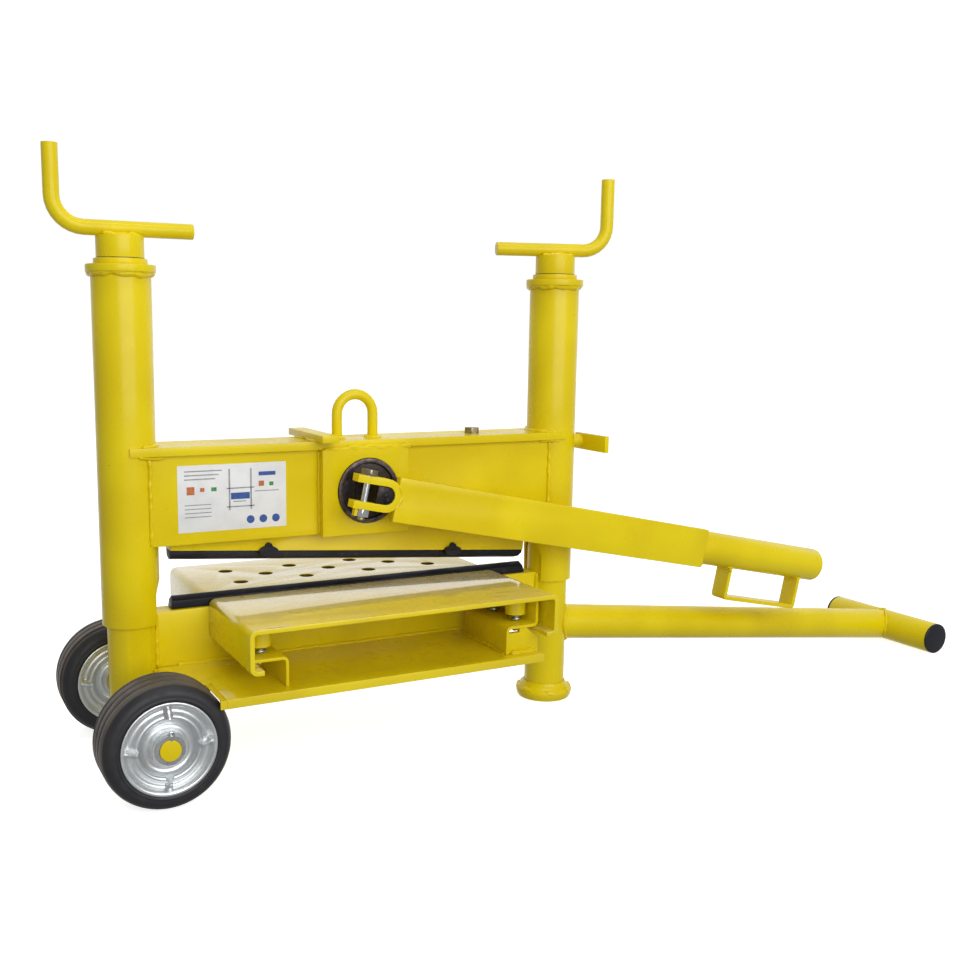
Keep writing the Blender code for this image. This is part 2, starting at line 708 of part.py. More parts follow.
def build_clamp(beam):
    axis = group("clamp_axis", beam, (0, 0, CLAMP_Z))
    tip, end = POST_SPACING + POST_R + 0.001, CLAMP_PLATE_X[0] + 0.001
    clamp = add_object("clamp_screw", cylinder(CLAMP_SCREW_R, tip, end, "X", sides=24), axis, "paint")
    half = CLAMP_PLATE_HALF_HEIGHT
    join(clamp, box(CLAMP_PLATE_X, CLAMP_PLATE_Y, (-half, half)))


# ---------------------------------------------------------------- lever and eccentric shaft
def build_shaft(lever):
    """The shaft turns in the bearing rings; its middle is an off-centre journal."""
    profile = [(0, JOURNAL_HALF), (SHAFT_R, JOURNAL_HALF), (SHAFT_R, SIDE_PLATE_Y), (0, SIDE_PLATE_Y)]
    shaft = add_object("eccentric_shaft", turned(profile, "Y", sides=48), lever, "shaft")
    join(shaft, turned([(r, -y) for r, y in profile], "Y", sides=48))
    # The journal hangs straight below the shaft's axis while the lever is down.
    x, z = ECCENTRICITY * math.sin(LEVER_DROP), -ECCENTRICITY * math.cos(LEVER_DROP)
    join(shaft, cylinder(JOURNAL_R, -JOURNAL_HALF - 0.002, JOURNAL_HALF + 0.002, "Y", (x, 0, z), 32))
    start, stop = TONGUE_REACH
    half = TONGUE_HALF_HEIGHT
    nose = arc((stop - half, 0), half, -90, 90, 12)
    join(shaft, prism([(start, -half)] + nose + [(start, half)], TONGUE_END_Y, -SIDE_PLATE_Y + 0.002))


def build_lever(lever):
    inner, outer = FORK_INNER_HALF, FORK_INNER_HALF + FORK_THICK
    centre = (FORK_BEND, 0)
    outline = (
        [(FORK_START, -outer)] + arc(centre, outer, -90, 90, 16) + [(FORK_START, outer), (FORK_START,
            inner)]
        + arc(centre, inner, 90, -90, 12) + [(FORK_START, -inner)]
    )  # fmt: skip
    fork = add_object("lever_fork", prism(outline, *FORK_Y), lever, "paint")
    bolt_y = sum(FORK_Y) / 2
    cut(fork, cylinder(LEVER_BOLT_R + GAP, -0.04, 0.04, centre=(LEVER_BOLT_S, bolt_y, 0), sides=20))

    place = (LEVER_BOLT_S, bolt_y, 0)
    bolt = add_object("lever_bolt", cylinder(LEVER_BOLT_R, -outer - 0.012, outer + 0.002, centre=place,
        sides=20), lever, "zinc")
    join(bolt, cylinder(LEVER_BOLT_HEAD_R, outer + GAP, outer + 0.0067, centre=place, sides=6))
    join(bolt, cylinder(LEVER_BOLT_HEAD_R, -outer - 0.0085, -outer - GAP, centre=place, sides=6))

    low, high = BAR_OFFSET - BAR_HALF_HEIGHT, BAR_OFFSET + BAR_HALF_HEIGHT
    root, end = BAR_S
    seat = outer + GAP
    reach = math.degrees(math.acos((root - FORK_BEND) / seat))
    outline = [(root, low)] + arc(centre, seat, -reach, reach, 10) + [(root, high), (end, high), (end, low)]
    add_object("lever_bar", prism(outline, *BAR_Y), lever, "paint")

    # The tube is notched so that the bar's end lies flush in its side.
    grip_axis = (0, GRIP_AXIS_Y, BAR_OFFSET)
    grip = add_object("grip_tube", tube(GRIP_R, GRIP_BORE_R, *GRIP_S, "X", grip_axis), lever, "paint")
    notch = box((GRIP_S[0] - 0.01, end + GAP), (BAR_Y[0] - 0.01, BAR_Y[1] + GAP), (low - 0.01, high + 0.01))
    cut(grip, notch)

    bottom, thick = LOOP_BOTTOM, LOOP_THICK
    top = BAR_OFFSET - 0.010
    line = [(LOOP_S[0], top), (LOOP_S[0], bottom), (LOOP_S[1], bottom), (LOOP_S[1], top)]
    width = (GRIP_AXIS_Y - LOOP_HALF_WIDTH, GRIP_AXIS_Y + LOOP_HALF_WIDTH)
    loop = add_object("grip_loop", prism(bent_sheet(line, thick, 0.0055, 3), *width), lever, "paint")
    cut(loop, cylinder(GRIP_R + GAP, 0.5, 0.7, "X", grip_axis))


# ---------------------------------------------------------------- knife
def build_bush(bush):
    """The bush runs on the eccentric journal and carries the knife."""
    ring = tube(BUSH_R, JOURNAL_R + GAP, -BUSH_HALF, BUSH_HALF, "Y", sides=32)
    add_object("eccentric_bush", ring, bush, "shaft")


def build_knife(knife):
    (left, right), edge = KNIFE_X, KNIFE_EDGE_Z
    back = edge + KNIFE_BLADE_H
    blade = blade_solid(KNIFE_X, (left + 0.0015, right - 0.0015), back, back - KNIFE_BLADE_SIDE_H, edge)
    blade = add_object("upper_blade", blade, knife, "blade")
    run, rise = KNIFE_CORNER
    corner = [(right - run, edge), (right + 0.01, edge - 0.01), (right + 0.01, edge + rise), (right,
        edge + rise)]
    corner[0] = (right - run - 0.01 * run / rise, edge - 0.01)
    cut(blade, prism(corner, -0.02, 0.02))

    foot, crown_z = back + GAP, HANGER_TOP - HANGER_HALF_WIDTH
    half = HANGER_HALF_WIDTH
    left, right = HOLDER_X
    outline = [(left, foot), (right, foot), (right, HOLDER_TOP), (half, HOLDER_TOP)]
    outline += arc((0, crown_z), half, 0, 180, 16)
    outline += [(-half, HOLDER_TOP), (left, HOLDER_TOP)]
    holder = add_object("knife_holder", prism(outline, -HOLDER_HALF_THICK, HOLDER_HALF_THICK), knife,
        "paint")
    cut(holder, cylinder(BUSH_R + GAP, -0.03, 0.03, "Y", sides=32))

    shank_z = foot + BLADE_BOLT_SHANK_R + 0.001
    near, far = HOLDER_HALF_THICK + GAP, BLADE_BOLT_FACE_Y
    wide, high = BLADE_BOLT_HALF
    for side, x in zip(("left", "right"), BLADE_BOLT_X):
        cut(holder, cylinder(BLADE_BOLT_SHANK_R + GAP, -0.03, 0.03, "Y", (x, 0, shank_z), 16))
        shank = cylinder(BLADE_BOLT_SHANK_R, 0.001 - far, far - 0.001, "Y", (x, 0, shank_z), 16)
        bolt = add_object(f"{side}_blade_bolt", shank, knife, "blade")
        oval = [(x + wide * a, back + high * b) for a, b in arc((0, 0), 1, 0, 345, 23)]
        join(bolt, prism(oval, -far, -near))
        join(bolt, prism(oval, near, far))


def build_machine():
    clear_scene()
    frame = group("machine_frame", None, (-BOX_CENTRE_X, 0, 0))
    build_posts(frame)
    build_foot(frame)
    build_lower_beam(frame)
    build_brackets(frame)
    build_support_arm(frame)
    build_wheels(frame)
    build_tables(frame)

    beam = group("beam_slide", frame)
    build_sleeves(beam)
    build_beam(beam)
    build_beam_fittings(beam)
    build_cranks(beam)
    build_clamp(beam)

    lever = group("lever_axis", beam, (SHAFT_X, 0, SHAFT_Z), ("Y", LEVER_DROP))
    build_shaft(lever)
    build_lever(lever)

    build_bush(group("bush_axis", beam, (SHAFT_X, 0, KNIFE_AXIS_Z)))
    knife = group("knife_axis", beam, (SHAFT_X, 0, KNIFE_AXIS_Z), ("Y", KNIFE_TILT))
    build_knife(knife)


build_machine()
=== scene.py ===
"""Looks for the block splitter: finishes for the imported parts, and the fittings, welds and fine shapes.

Lengths are in metres. A place on the machine is given as the CAD source gives it, with X measured
from the axis of the left post; AT_MACHINE moves it into the frame. AT_LEVER does that for the lever's
places, which run along the bar, through it and across it.
"""

import math

import bmesh
import bpy
from mathutils import Matrix, Vector, noise


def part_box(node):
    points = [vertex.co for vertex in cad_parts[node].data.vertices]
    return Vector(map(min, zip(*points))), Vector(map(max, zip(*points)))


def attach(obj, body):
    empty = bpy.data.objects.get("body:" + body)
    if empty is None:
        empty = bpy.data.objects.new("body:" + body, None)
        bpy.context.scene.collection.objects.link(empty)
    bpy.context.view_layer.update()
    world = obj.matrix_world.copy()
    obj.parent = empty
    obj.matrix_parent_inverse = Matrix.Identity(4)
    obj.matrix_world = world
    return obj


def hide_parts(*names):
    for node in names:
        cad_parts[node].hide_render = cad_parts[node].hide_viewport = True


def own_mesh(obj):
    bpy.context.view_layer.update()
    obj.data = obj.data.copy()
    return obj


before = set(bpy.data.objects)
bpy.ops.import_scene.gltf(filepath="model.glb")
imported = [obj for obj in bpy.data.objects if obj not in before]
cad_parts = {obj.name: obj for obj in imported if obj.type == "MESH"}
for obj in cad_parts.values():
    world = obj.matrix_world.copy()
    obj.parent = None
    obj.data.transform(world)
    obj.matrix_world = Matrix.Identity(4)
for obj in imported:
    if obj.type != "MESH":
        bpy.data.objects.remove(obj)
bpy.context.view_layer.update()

POST_X = sum(corner.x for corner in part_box("left_post")) / 2
POST_SPACING = 0.527
LEVER_DROP = math.radians(11.7)
SHAFT = Vector((0.260, 0, 0.2895))
TAU = 2 * math.pi

AT_MACHINE = Matrix.Translation((POST_X, 0, 0))
AT_LEVER = AT_MACHINE @ Matrix.Translation(SHAFT) @ Matrix.Rotation(LEVER_DROP, 4, "Y")


# ---------------------------------------------------------------- material helpers
class Nodes:
    """A short way to write a node tree: each call adds one node and returns its output."""

    def __init__(self, name):
        self.mat = bpy.data.materials.new(name)
        self.mat.use_nodes = True
        self.tree = self.mat.node_tree
        self.shader = self.tree.nodes["Principled BSDF"]
        coords = self.tree.nodes.new("ShaderNodeTexCoord")
        self.place = coords.outputs["Object"]
        geometry = self.tree.nodes.new("ShaderNodeNewGeometry")
        self.normal = geometry.outputs["Normal"]

    def feed(self, socket, value):
        if isinstance(value, bpy.types.NodeSocket):
            self.tree.links.new(value, socket)
        elif hasattr(value, "__len__") and len(value) == 3 and socket.type == "RGBA":
            socket.default_value = (*value, 1)
        else:
            socket.default_value = value

    def fix(self, **settings):
        for key, value in settings.items():
            self.feed(self.shader.inputs[key.replace("_", " ")], value)

    def scaled(self, stretch):
        node = self.tree.nodes.new("ShaderNodeMapping")
        self.feed(node.inputs["Vector"], self.place)
        node.inputs["Scale"].default_value = stretch
        return node.outputs["Vector"]

    def noise(self, scale, detail=3, rough=0.5, where=None):
        node = self.tree.nodes.new("ShaderNodeTexNoise")
        self.feed(node.inputs["Vector"], where or self.place)
        node.inputs["Scale"].default_value = scale
        node.inputs["Detail"].default_value = detail
        node.inputs["Roughness"].default_value = rough
        return node.outputs["Fac"]

    def cells(self, scale, feature="F1"):
        node = self.tree.nodes.new("ShaderNodeTexVoronoi")
        node.feature = feature
        self.feed(node.inputs["Vector"], self.place)
        node.inputs["Scale"].default_value = scale
        return node.outputs["Distance"]

    def ramp(self, value, low, high, to_low=0.0, to_high=1.0):
        node = self.tree.nodes.new("ShaderNodeMapRange")
        node.interpolation_type = "SMOOTHSTEP"
        self.feed(node.inputs["Value"], value)
        for key, number in zip(("From Min", "From Max", "To Min", "To Max"), (low, high, to_low, to_high)):
            node.inputs[key].default_value = number
        return node.outputs["Result"]

    def math(self, operation, a, b):
        node = self.tree.nodes.new("ShaderNodeMath")
        node.operation = operation
        self.feed(node.inputs[0], a)
        self.feed(node.inputs[1], b)
        return node.outputs[0]

    def axis(self, vector, name):
        node = self.tree.nodes.new("ShaderNodeSeparateXYZ")
        self.feed(node.inputs[0], vector)
        return node.outputs[name]

    def mix(self, factor, a, b):
        node = self.tree.nodes.new("ShaderNodeMix")
        node.data_type = "RGBA"
        self.feed(node.inputs["Factor"], factor)
        self.feed(node.inputs["A"], a)
        self.feed(node.inputs["B"], b)
        return node.outputs["Result"]

    def bump(self, height, distance, strength=1.0, under=None):
        node = self.tree.nodes.new("ShaderNodeBump")
        node.inputs["Strength"].default_value = strength
        node.inputs["Distance"].default_value = distance
        self.feed(node.inputs["Height"], height)
        if under:
            self.feed(node.inputs["Normal"], under)
        return node.outputs["Normal"]


def paint(name, colour=(0.80, 0.635, 0.004), dirt=0.0, wear_and_sheen=0.0, rough=0.30, coat=0.10):
    """Glossy yellow enamel: slight orange peel, cloudy thickness, and where asked for dirt, scratches, and a
    painted sheen on top faces streaked like scuffs.
    """
    n = Nodes(name)
    cloud = n.noise(9, 2)
    deep = tuple(c * s for c, s in zip(colour, (0.90, 0.87, 0.75)))
    tone = n.mix(n.ramp(cloud, 0.35, 0.65), colour, deep)
    speck = n.ramp(n.noise(420, 2, 0.6), 0.71, 0.75)
    patch = n.ramp(n.noise(13, 3), 0.56, 0.66)
    chips = n.math("MULTIPLY", n.math("MULTIPLY", speck, patch), 0.75)
    tone = n.mix(chips, tone, (0.19, 0.12, 0.03))
    gloss = n.ramp(n.noise(60, 3), 0.3, 0.7, rough - 0.04, rough + 0.06)
    if dirt:
        up = n.ramp(n.axis(n.normal, "Z"), 0.6, 0.95)
        grime = n.math("MULTIPLY", up, n.ramp(n.noise(70, 5, 0.7), 0.47, 0.68, 0.0, dirt))
        tone = n.mix(grime, tone, (0.36, 0.26, 0.055))
        dots = n.math("MULTIPLY", up, n.ramp(n.noise(330, 3, 0.7), 0.64, 0.69, 0.0, dirt))
        tone = n.mix(dots, tone, (0.09, 0.05, 0.015))
        gloss = n.math("ADD", gloss, n.math("MULTIPLY", grime, 0.25))
    if wear_and_sheen:
        up = n.ramp(n.axis(n.normal, "Z"), 0.6, 0.95)
        streaks = n.noise(7, 3, 0.55, n.scaled((0.6, 1, 1)))
        # Top faces paled toward beige: a painted sheen of the bright sky, streaked like real scuffs
        scuffed_sheen = n.math("MULTIPLY", up, n.ramp(streaks, 0.30, 0.62, 0.35 * wear_and_sheen, wear_and_sheen))
        tone = n.mix(scuffed_sheen, tone, (0.78, 0.62, 0.18))
        scratch = n.ramp(n.noise(150, 2, 0.5, n.scaled((0.12, 1, 1))), 0.69, 0.73)
        scratch = n.math("MULTIPLY", scratch, n.math("MULTIPLY", up, 0.6))
        tone = n.mix(scratch, tone, (0.34, 0.25, 0.06))
        gloss = n.math("ADD", gloss, n.math("MULTIPLY", scuffed_sheen, 0.03))
    peel = n.bump(n.noise(700, 2), 0.00004, 0.5)
    n.fix(Base_Color=tone, Roughness=gloss, Normal=n.bump(cloud, 0.0008, 0.5, peel))
    n.fix(Specular_IOR_Level=0.24, Coat_Weight=coat, Coat_Roughness=0.05)
    return n.mat


def metal(name, colour, dark, rough, grain=(1, 1, 1), spots=0.0, metallic=1.0, scale=180):
    """Bare or coated metal with a fine grain, cloudy tone and, where asked for, stains."""
    n = Nodes(name)
    grains = n.noise(scale, 4, 0.6, n.scaled(grain))
    tone = n.mix(n.ramp(grains, 0.3, 0.7), colour, dark)
    if spots:
        stain = n.ramp(n.noise(90, 5, 0.7), 0.58, 0.72, 0.0, spots)
        tone = n.mix(stain, tone, (0.16, 0.09, 0.04))
    gloss = n.ramp(n.noise(45, 3), 0.3, 0.7, rough - 0.05, rough + 0.1)
    n.fix(Base_Color=tone, Roughness=gloss, Metallic=metallic, Normal=n.bump(grains, 0.00005, 0.5))
    return n.mat


def galvanised(name):
    """Zinc plate: faint spangle patches over a bright, slightly blue grey."""
    n = Nodes(name)
    spangle = n.cells(260)
    patch = n.ramp(spangle, 0.1, 0.8)
    tone = n.mix(patch, (0.80, 0.82, 0.82), (0.74, 0.77, 0.78))
    tone = n.mix(n.ramp(n.noise(45, 3), 0.5, 0.75, 0, 0.22), tone, (0.56, 0.54, 0.46))
    gloss = n.ramp(n.noise(40, 2), 0.3, 0.7, 0.33, 0.40)
    n.fix(Base_Color=tone, Roughness=gloss, Metallic=1.0)
    return n.mat


def rubber(name, colour=(0.014, 0.0145, 0.018), rough=0.5, dust=0.35, tread=None):
    """Black rubber. tread = (x, z, radius) browns what lies further than radius from a line along Y."""
    n = Nodes(name)
    dusty = n.ramp(n.noise(55, 5, 0.65), 0.45, 0.7, 0.0, dust)
    tone = n.mix(dusty, colour, (0.040, 0.038, 0.036))
    if tread:
        x, z, radius = tread
        across = n.math("POWER", n.math("SUBTRACT", n.axis(n.place, "X"), x), 2.0)
        upward = n.math("POWER", n.math("SUBTRACT", n.axis(n.place, "Z"), z), 2.0)
        far = n.math("SQRT", n.math("ADD", across, upward), 0.0)
        on_tread = n.ramp(far, radius - 0.0008, radius + 0.0004)
        run = n.math("MULTIPLY", on_tread, n.ramp(n.noise(30, 3), 0.2, 0.6, 0.5, 1))
        tone = n.mix(run, tone, (0.105, 0.085, 0.070))
    fine = n.noise(900, 2)
    n.fix(Base_Color=tone, Roughness=n.ramp(dusty, 0, 0.4, rough, rough + 0.2))
    n.fix(Normal=n.bump(fine, 0.00006, 0.6))
    return n.mat


PAINT = paint("enamel")
PAINT_DIRTY = paint("enamel_dirty", dirt=0.16, coat=1.0)
PAINT_TABLE = paint("enamel_worn_sheen", wear_and_sheen=0.80, rough=0.25, coat=0.9)
# A dark olive that paints the shade inside the rear table's holes
PAINT_SHADE = paint("painted_shade_in_holes", (0.11, 0.085, 0.006), rough=0.5)
PAINT_WELD = paint("enamel_weld", (0.79, 0.62, 0.006), rough=0.22)
BLADE = metal("blade_steel", (0.020, 0.020, 0.030), (0.009, 0.009, 0.014), 0.42, (0.1, 1, 1), 0.25, 0.6)
SHAFT_DARK = metal("shaft_steel", (0.055, 0.045, 0.042), (0.022, 0.018, 0.018), 0.36, spots=0.3, metallic=0.9)
RING_STEEL = metal("ring_steel", (0.16, 0.13, 0.14), (0.06, 0.045, 0.045), 0.34, spots=0.5, metallic=0.9)
ZINC = metal("zinc_steel", (0.72, 0.74, 0.76), (0.55, 0.56, 0.57), 0.22)
BRONZED = metal("yellow_zinc", (0.42, 0.36, 0.26), (0.22, 0.19, 0.15), 0.36, spots=0.4)
SPRING = metal("spring_wire", (0.60, 0.61, 0.63), (0.30, 0.30, 0.31), 0.25)
RIM = galvanised("galvanised")
PLASTIC = rubber("plug_plastic", (0.006, 0.007, 0.012), 0.38, 0.12)


def label_material():
    """A plain white film, a little glossy, faintly creased."""
    n = Nodes("label_film")
    tone = n.mix(n.ramp(n.noise(40, 4), 0.4, 0.7), (0.78, 0.79, 0.80), (0.70, 0.71, 0.73))
    n.fix(Base_Color=tone, Roughness=0.3, Normal=n.bump(n.noise(25, 2), 0.0003, 0.4))
    return n.mat


def ink(name, colour):
    n = Nodes(name)
    tone = n.mix(n.ramp(n.noise(300, 2), 0.4, 0.6), colour, tuple(c * 0.8 for c in colour))
    n.fix(Base_Color=tone, Roughness=0.35)
    return n.mat


LABEL = label_material()
INK_GREY = ink("ink_grey", (0.33, 0.34, 0.37))
INK_ORANGE = ink("ink_orange", (0.55, 0.16, 0.04))
INK_BLUE = ink("ink_blue", (0.03, 0.09, 0.35))
INK_GREEN = ink("ink_green", (0.05, 0.30, 0.07))


# ---------------------------------------------------------------- shape helpers
TO_WORLD = {
    "X": Matrix(((0, 0, 1), (1, 0, 0), (0, 1, 0))),
    "Y": Matrix(((1, 0, 0), (0, 0, 1), (0, 1, 0))),
    "Z": Matrix.Identity(3),
}


def piece(name, bm, body, material, replaces=(), place=AT_MACHINE, angle=38):
    """Makes an object of bm, drawn in the axes of place, smooth up to the angle, riding on a body."""
    bm.transform(place)
    bmesh.ops.remove_doubles(bm, verts=bm.verts, dist=1e-6)
    bmesh.ops.recalc_face_normals(bm, faces=bm.faces)
    mesh = bpy.data.meshes.new(name)
    bm.to_mesh(mesh)
    bm.free()
    mesh.shade_smooth()
    mesh.set_sharp_from_angle(angle=math.radians(angle))
    mesh.materials.append(material)
    obj = bpy.data.objects.new(name, mesh)
    bpy.context.scene.collection.objects.link(obj)
    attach(obj, body)
    if replaces:
        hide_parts(*replaces)
    return obj


def lathe(profile, axis="Z", centre=(0, 0, 0), sides=72, bm=None, lift=None):
    """Turns (radius, height) points round an axis. lift(radius, angle) adds to the height."""
    bm = bm or bmesh.new()
    turn = TO_WORLD[axis]
    rings = []
    for radius, height in profile:
        ring = []
        for k in range(1 if radius == 0 else sides):
            angle = TAU * k / sides
            up = height + (lift(radius, angle) if lift else 0)
            point = turn @ Vector((radius * math.cos(angle), radius * math.sin(angle), up))
            ring.append(bm.verts.new(point + Vector(centre)))
        rings.append(ring)
    solid = len(rings[0]) == 1 and len(rings[-1]) == 1
    for low, high in zip(rings, rings[1:] if solid else rings[1:] + rings[:1]):
        for k in range(sides):
            j = (k + 1) % sides
            corners = [low[k % len(low)], low[j % len(low)], high[j % len(high)], high[k % len(high)]]
            bm.faces.new(list(dict.fromkeys(corners)))
    return bm


def even_path(points, step, closed=False):
    """Points at even steps along a line of points."""
    points = [Vector(p) for p in points]
    if closed:
        points.append(points[0])
    lengths = [(b - a).length for a, b in zip(points, points[1:])]
    total = sum(lengths)
    count = max(3, round(total / step))
    found, i, gone = [], 0, 0.0
    for k in range(count if closed else count + 1):
        target = total * k / count
        while i < len(lengths) - 1 and gone + lengths[i] < target:
            gone += lengths[i]
            i += 1
        share = min(1.0, (target - gone) / lengths[i])
        found.append(points[i].lerp(points[i + 1], share))
    return found, total


def rod(points, radius, sides=14, closed=False, bm=None, step=None):
    """A round rod through points. radius is a number, or a function of the distance along it."""
    bm = bm or bmesh.new()
    points = [Vector(p) for p in points]
    if step:
        points, _ = even_path(points, step, closed)
    count = len(points)
    rings, side, gone = [], None, 0.0
    for i, point in enumerate(points):
        if closed:
            along = (points[(i + 1) % count] - points[i - 1]).normalized()
        else:
            along = (points[min(i + 1, count - 1)] - points[max(i - 1, 0)]).normalized()
        if side is None:
            side = along.orthogonal().normalized()
        side = (side - side.dot(along) * along).normalized()
        other = along.cross(side)
        gone += (point - points[i - 1]).length if i else 0
        size = radius(gone) if callable(radius) else radius
        spokes = [math.cos(TAU * k / sides) * side + math.sin(TAU * k / sides) * other for k in range(sides)]
        rings.append([bm.verts.new(point + size * spoke) for spoke in spokes])
    for a, b in zip(rings, rings[1:] + (rings[:1] if closed else [])):
        for k in range(sides):
            j = (k + 1) % sides
            bm.faces.new((a[k], a[j], b[j], b[k]))
    if not closed:
        bm.faces.new(reversed(rings[0]))
        bm.faces.new(rings[-1])
    return bm


def weld(bm, points, radius, seed, closed=False, wander=0.25, wave=0.0, wave_length=0.018, pull=(0, 0, 1)):
    """A weld bead along points: faint ripples, uneven width and line, and round ends."""
    pass_length, drift_length, lump_length, step = 0.0030, 0.010, 0.008, 0.0008
    path, total = even_path(points, step, closed)
    pull = Vector(pull)
    # Each bead reads its own stretch of the noise
    shift = Vector((seed * 1.7, seed * 2.3, seed * 0.9))
    line = []
    for point in path:
        where = point / drift_length + shift
        drift = Vector([noise.noise(where + Vector((9.1 * axis, 0, 0))) for axis in range(3)])
        swing = 2.2 * wave * noise.noise(point / wave_length * 1.9 - shift) if wave else 0
        line.append(point + drift * radius * wander + pull * swing)

    def size(s):
        i = min(len(line) - 1, round(s / step))
        ripple = 0.05 * abs(math.sin(math.pi * s / pass_length))
        lump = 0.45 * noise.noise(line[i] / lump_length + 3 * shift)
        grown = radius * (0.92 + ripple + lump)
        if closed:
            return grown
        edge = min(s, max(0.0, total - s))
        return grown * math.sqrt(max(0.05, 1 - (1 - min(1.0, edge / radius)) ** 2))

    return rod(line, size, 9, closed, bm)


def block(x, y, z, bevel=0.0, bm=None):
    """A box between three ranges, its edges rounded."""
    part = bmesh.new()
    corners = [part.verts.new((a, b, c)) for a in x for b in y for c in z]
    for face in ((0, 1, 3, 2), (4, 6, 7, 5), (0, 4, 5, 1), (2, 3, 7, 6), (0, 2, 6, 4), (1, 5, 7, 3)):
        part.faces.new([corners[i] for i in face])
    if bevel:
        bmesh.ops.bevel(part, geom=part.edges[:], offset=bevel, segments=2, profile=0.6, affect="EDGES")
    return merged(bm, part)


def merged(bm, part):
    """Adds part to bm, and frees it."""
    if bm is None:
        return part
    mesh = bpy.data.meshes.new("part")
    part.to_mesh(mesh)
    part.free()
    bm.from_mesh(mesh)
    bpy.data.meshes.remove(mesh)
    return bm


def moved(bm, matrix):
    bm.transform(matrix)
    return bm


def hexagon(across, low, high, chamfer=0.0008, turn=0.0):
    """A hexagon head or nut along Z, with rounded corners at both faces as a turned nut has."""
    bm = bmesh.new()
    corner = across / math.sqrt(3)
    levels = [(low, 0.93), (low + chamfer, 0.985), (high - chamfer, 0.985), (high, 0.93)]
    sides, rings = 36, []
    for z, share in levels:
        ring = []
        for k in range(sides):
            angle = TAU * k / sides
            reach = across / 2 / math.cos(angle % (TAU / 6) - TAU / 12)
            size = min(reach, corner * share)
            ring.append(bm.verts.new((size * math.cos(angle + turn), size * math.sin(angle + turn), z)))
        rings.append(ring)
    bm.faces.new(rings[0])
    bm.faces.new(reversed(rings[-1]))
    for a, b in zip(rings, rings[1:]):
        for k in range(sides):
            j = (k + 1) % sides
            bm.faces.new((a[k], a[j], b[j], b[k]))
    return bm


def threaded(radius, low, high, pitch=0.00125, sides=20, bm=None):
    """A threaded rod's end along Z: round ridges close together."""
    profile = [(0, low), (radius - 0.0008, low)]
    z = low + 0.0004
    while z + pitch < high - 0.0004:
        profile += [(radius - 0.0006, z), (radius, z + pitch / 2)]
        z += pitch
    profile += [(radius - 0.0008, high), (0, high)]
    return lathe(profile, sides=sides, bm=bm)


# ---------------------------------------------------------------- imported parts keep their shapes
def soft_edges_group():
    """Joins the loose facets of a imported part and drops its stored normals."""
    group = bpy.data.node_groups.new("soft_edges", "GeometryNodeTree")
    group.interface.new_socket("Geometry", in_out="INPUT", socket_type="NodeSocketGeometry")
    group.interface.new_socket("Geometry", in_out="OUTPUT", socket_type="NodeSocketGeometry")
    nodes, links = group.nodes, group.links
    start = nodes.new("NodeGroupInput")
    end = nodes.new("NodeGroupOutput")
    bare = nodes.new("GeometryNodeRemoveAttribute")
    bare.inputs["Name"].default_value = "custom_normal"
    weld_points = nodes.new("GeometryNodeMergeByDistance")
    weld_points.inputs["Distance"].default_value = 2e-6
    links.new(start.outputs[0], bare.inputs["Geometry"])
    links.new(bare.outputs["Geometry"], weld_points.inputs["Geometry"])
    links.new(weld_points.outputs["Geometry"], end.inputs[0])
    return group


def smooth_group(limit_deg):
    group = bpy.data.node_groups.new("smooth_curves", "GeometryNodeTree")
    group.interface.new_socket("Geometry", in_out="INPUT", socket_type="NodeSocketGeometry")
    group.interface.new_socket("Geometry", in_out="OUTPUT", socket_type="NodeSocketGeometry")
    nodes, links = group.nodes, group.links
    start = nodes.new("NodeGroupInput")
    end = nodes.new("NodeGroupOutput")
    faces = nodes.new("GeometryNodeSetShadeSmooth")
    faces.domain = "FACE"
    faces.inputs["Shade Smooth"].default_value = True
    edges = nodes.new("GeometryNodeSetShadeSmooth")
    edges.domain = "EDGE"
    angle = nodes.new("GeometryNodeInputMeshEdgeAngle")
    below = nodes.new("FunctionNodeCompare")
    below.data_type = "FLOAT"
    below.operation = "LESS_THAN"
    below.inputs["B"].default_value = math.radians(limit_deg)
    links.new(start.outputs[0], faces.inputs["Geometry"])
    links.new(faces.outputs["Geometry"], edges.inputs["Geometry"])
    links.new(angle.outputs["Unsigned Angle"], below.inputs["A"])
    links.new(below.outputs["Result"], edges.inputs["Shade Smooth"])
    links.new(edges.outputs["Geometry"], end.inputs[0])
    return group


JOIN_FACETS = soft_edges_group()
SHADE_CURVES = smooth_group(32)


def finish_node(name, material, edge=0.0006):
    """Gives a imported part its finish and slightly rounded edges."""
    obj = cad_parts[name]
    obj.data.materials.clear()
    obj.data.materials.append(material)
    obj.modifiers.new("join_facets", "NODES").node_group = JOIN_FACETS
    if edge:
        flat = obj.modifiers.new("flat_faces", "DECIMATE")
        flat.decimate_type = "DISSOLVE"
        flat.angle_limit = math.radians(0.4)
        bevel = obj.modifiers.new("round_edges", "BEVEL")
        bevel.width = edge
        bevel.segments = 3
        bevel.limit_method = "ANGLE"
        bevel.angle_limit = math.radians(38)
        bevel.use_clamp_overlap = True
    obj.modifiers.new("shade_curves", "NODES").node_group = SHADE_CURVES


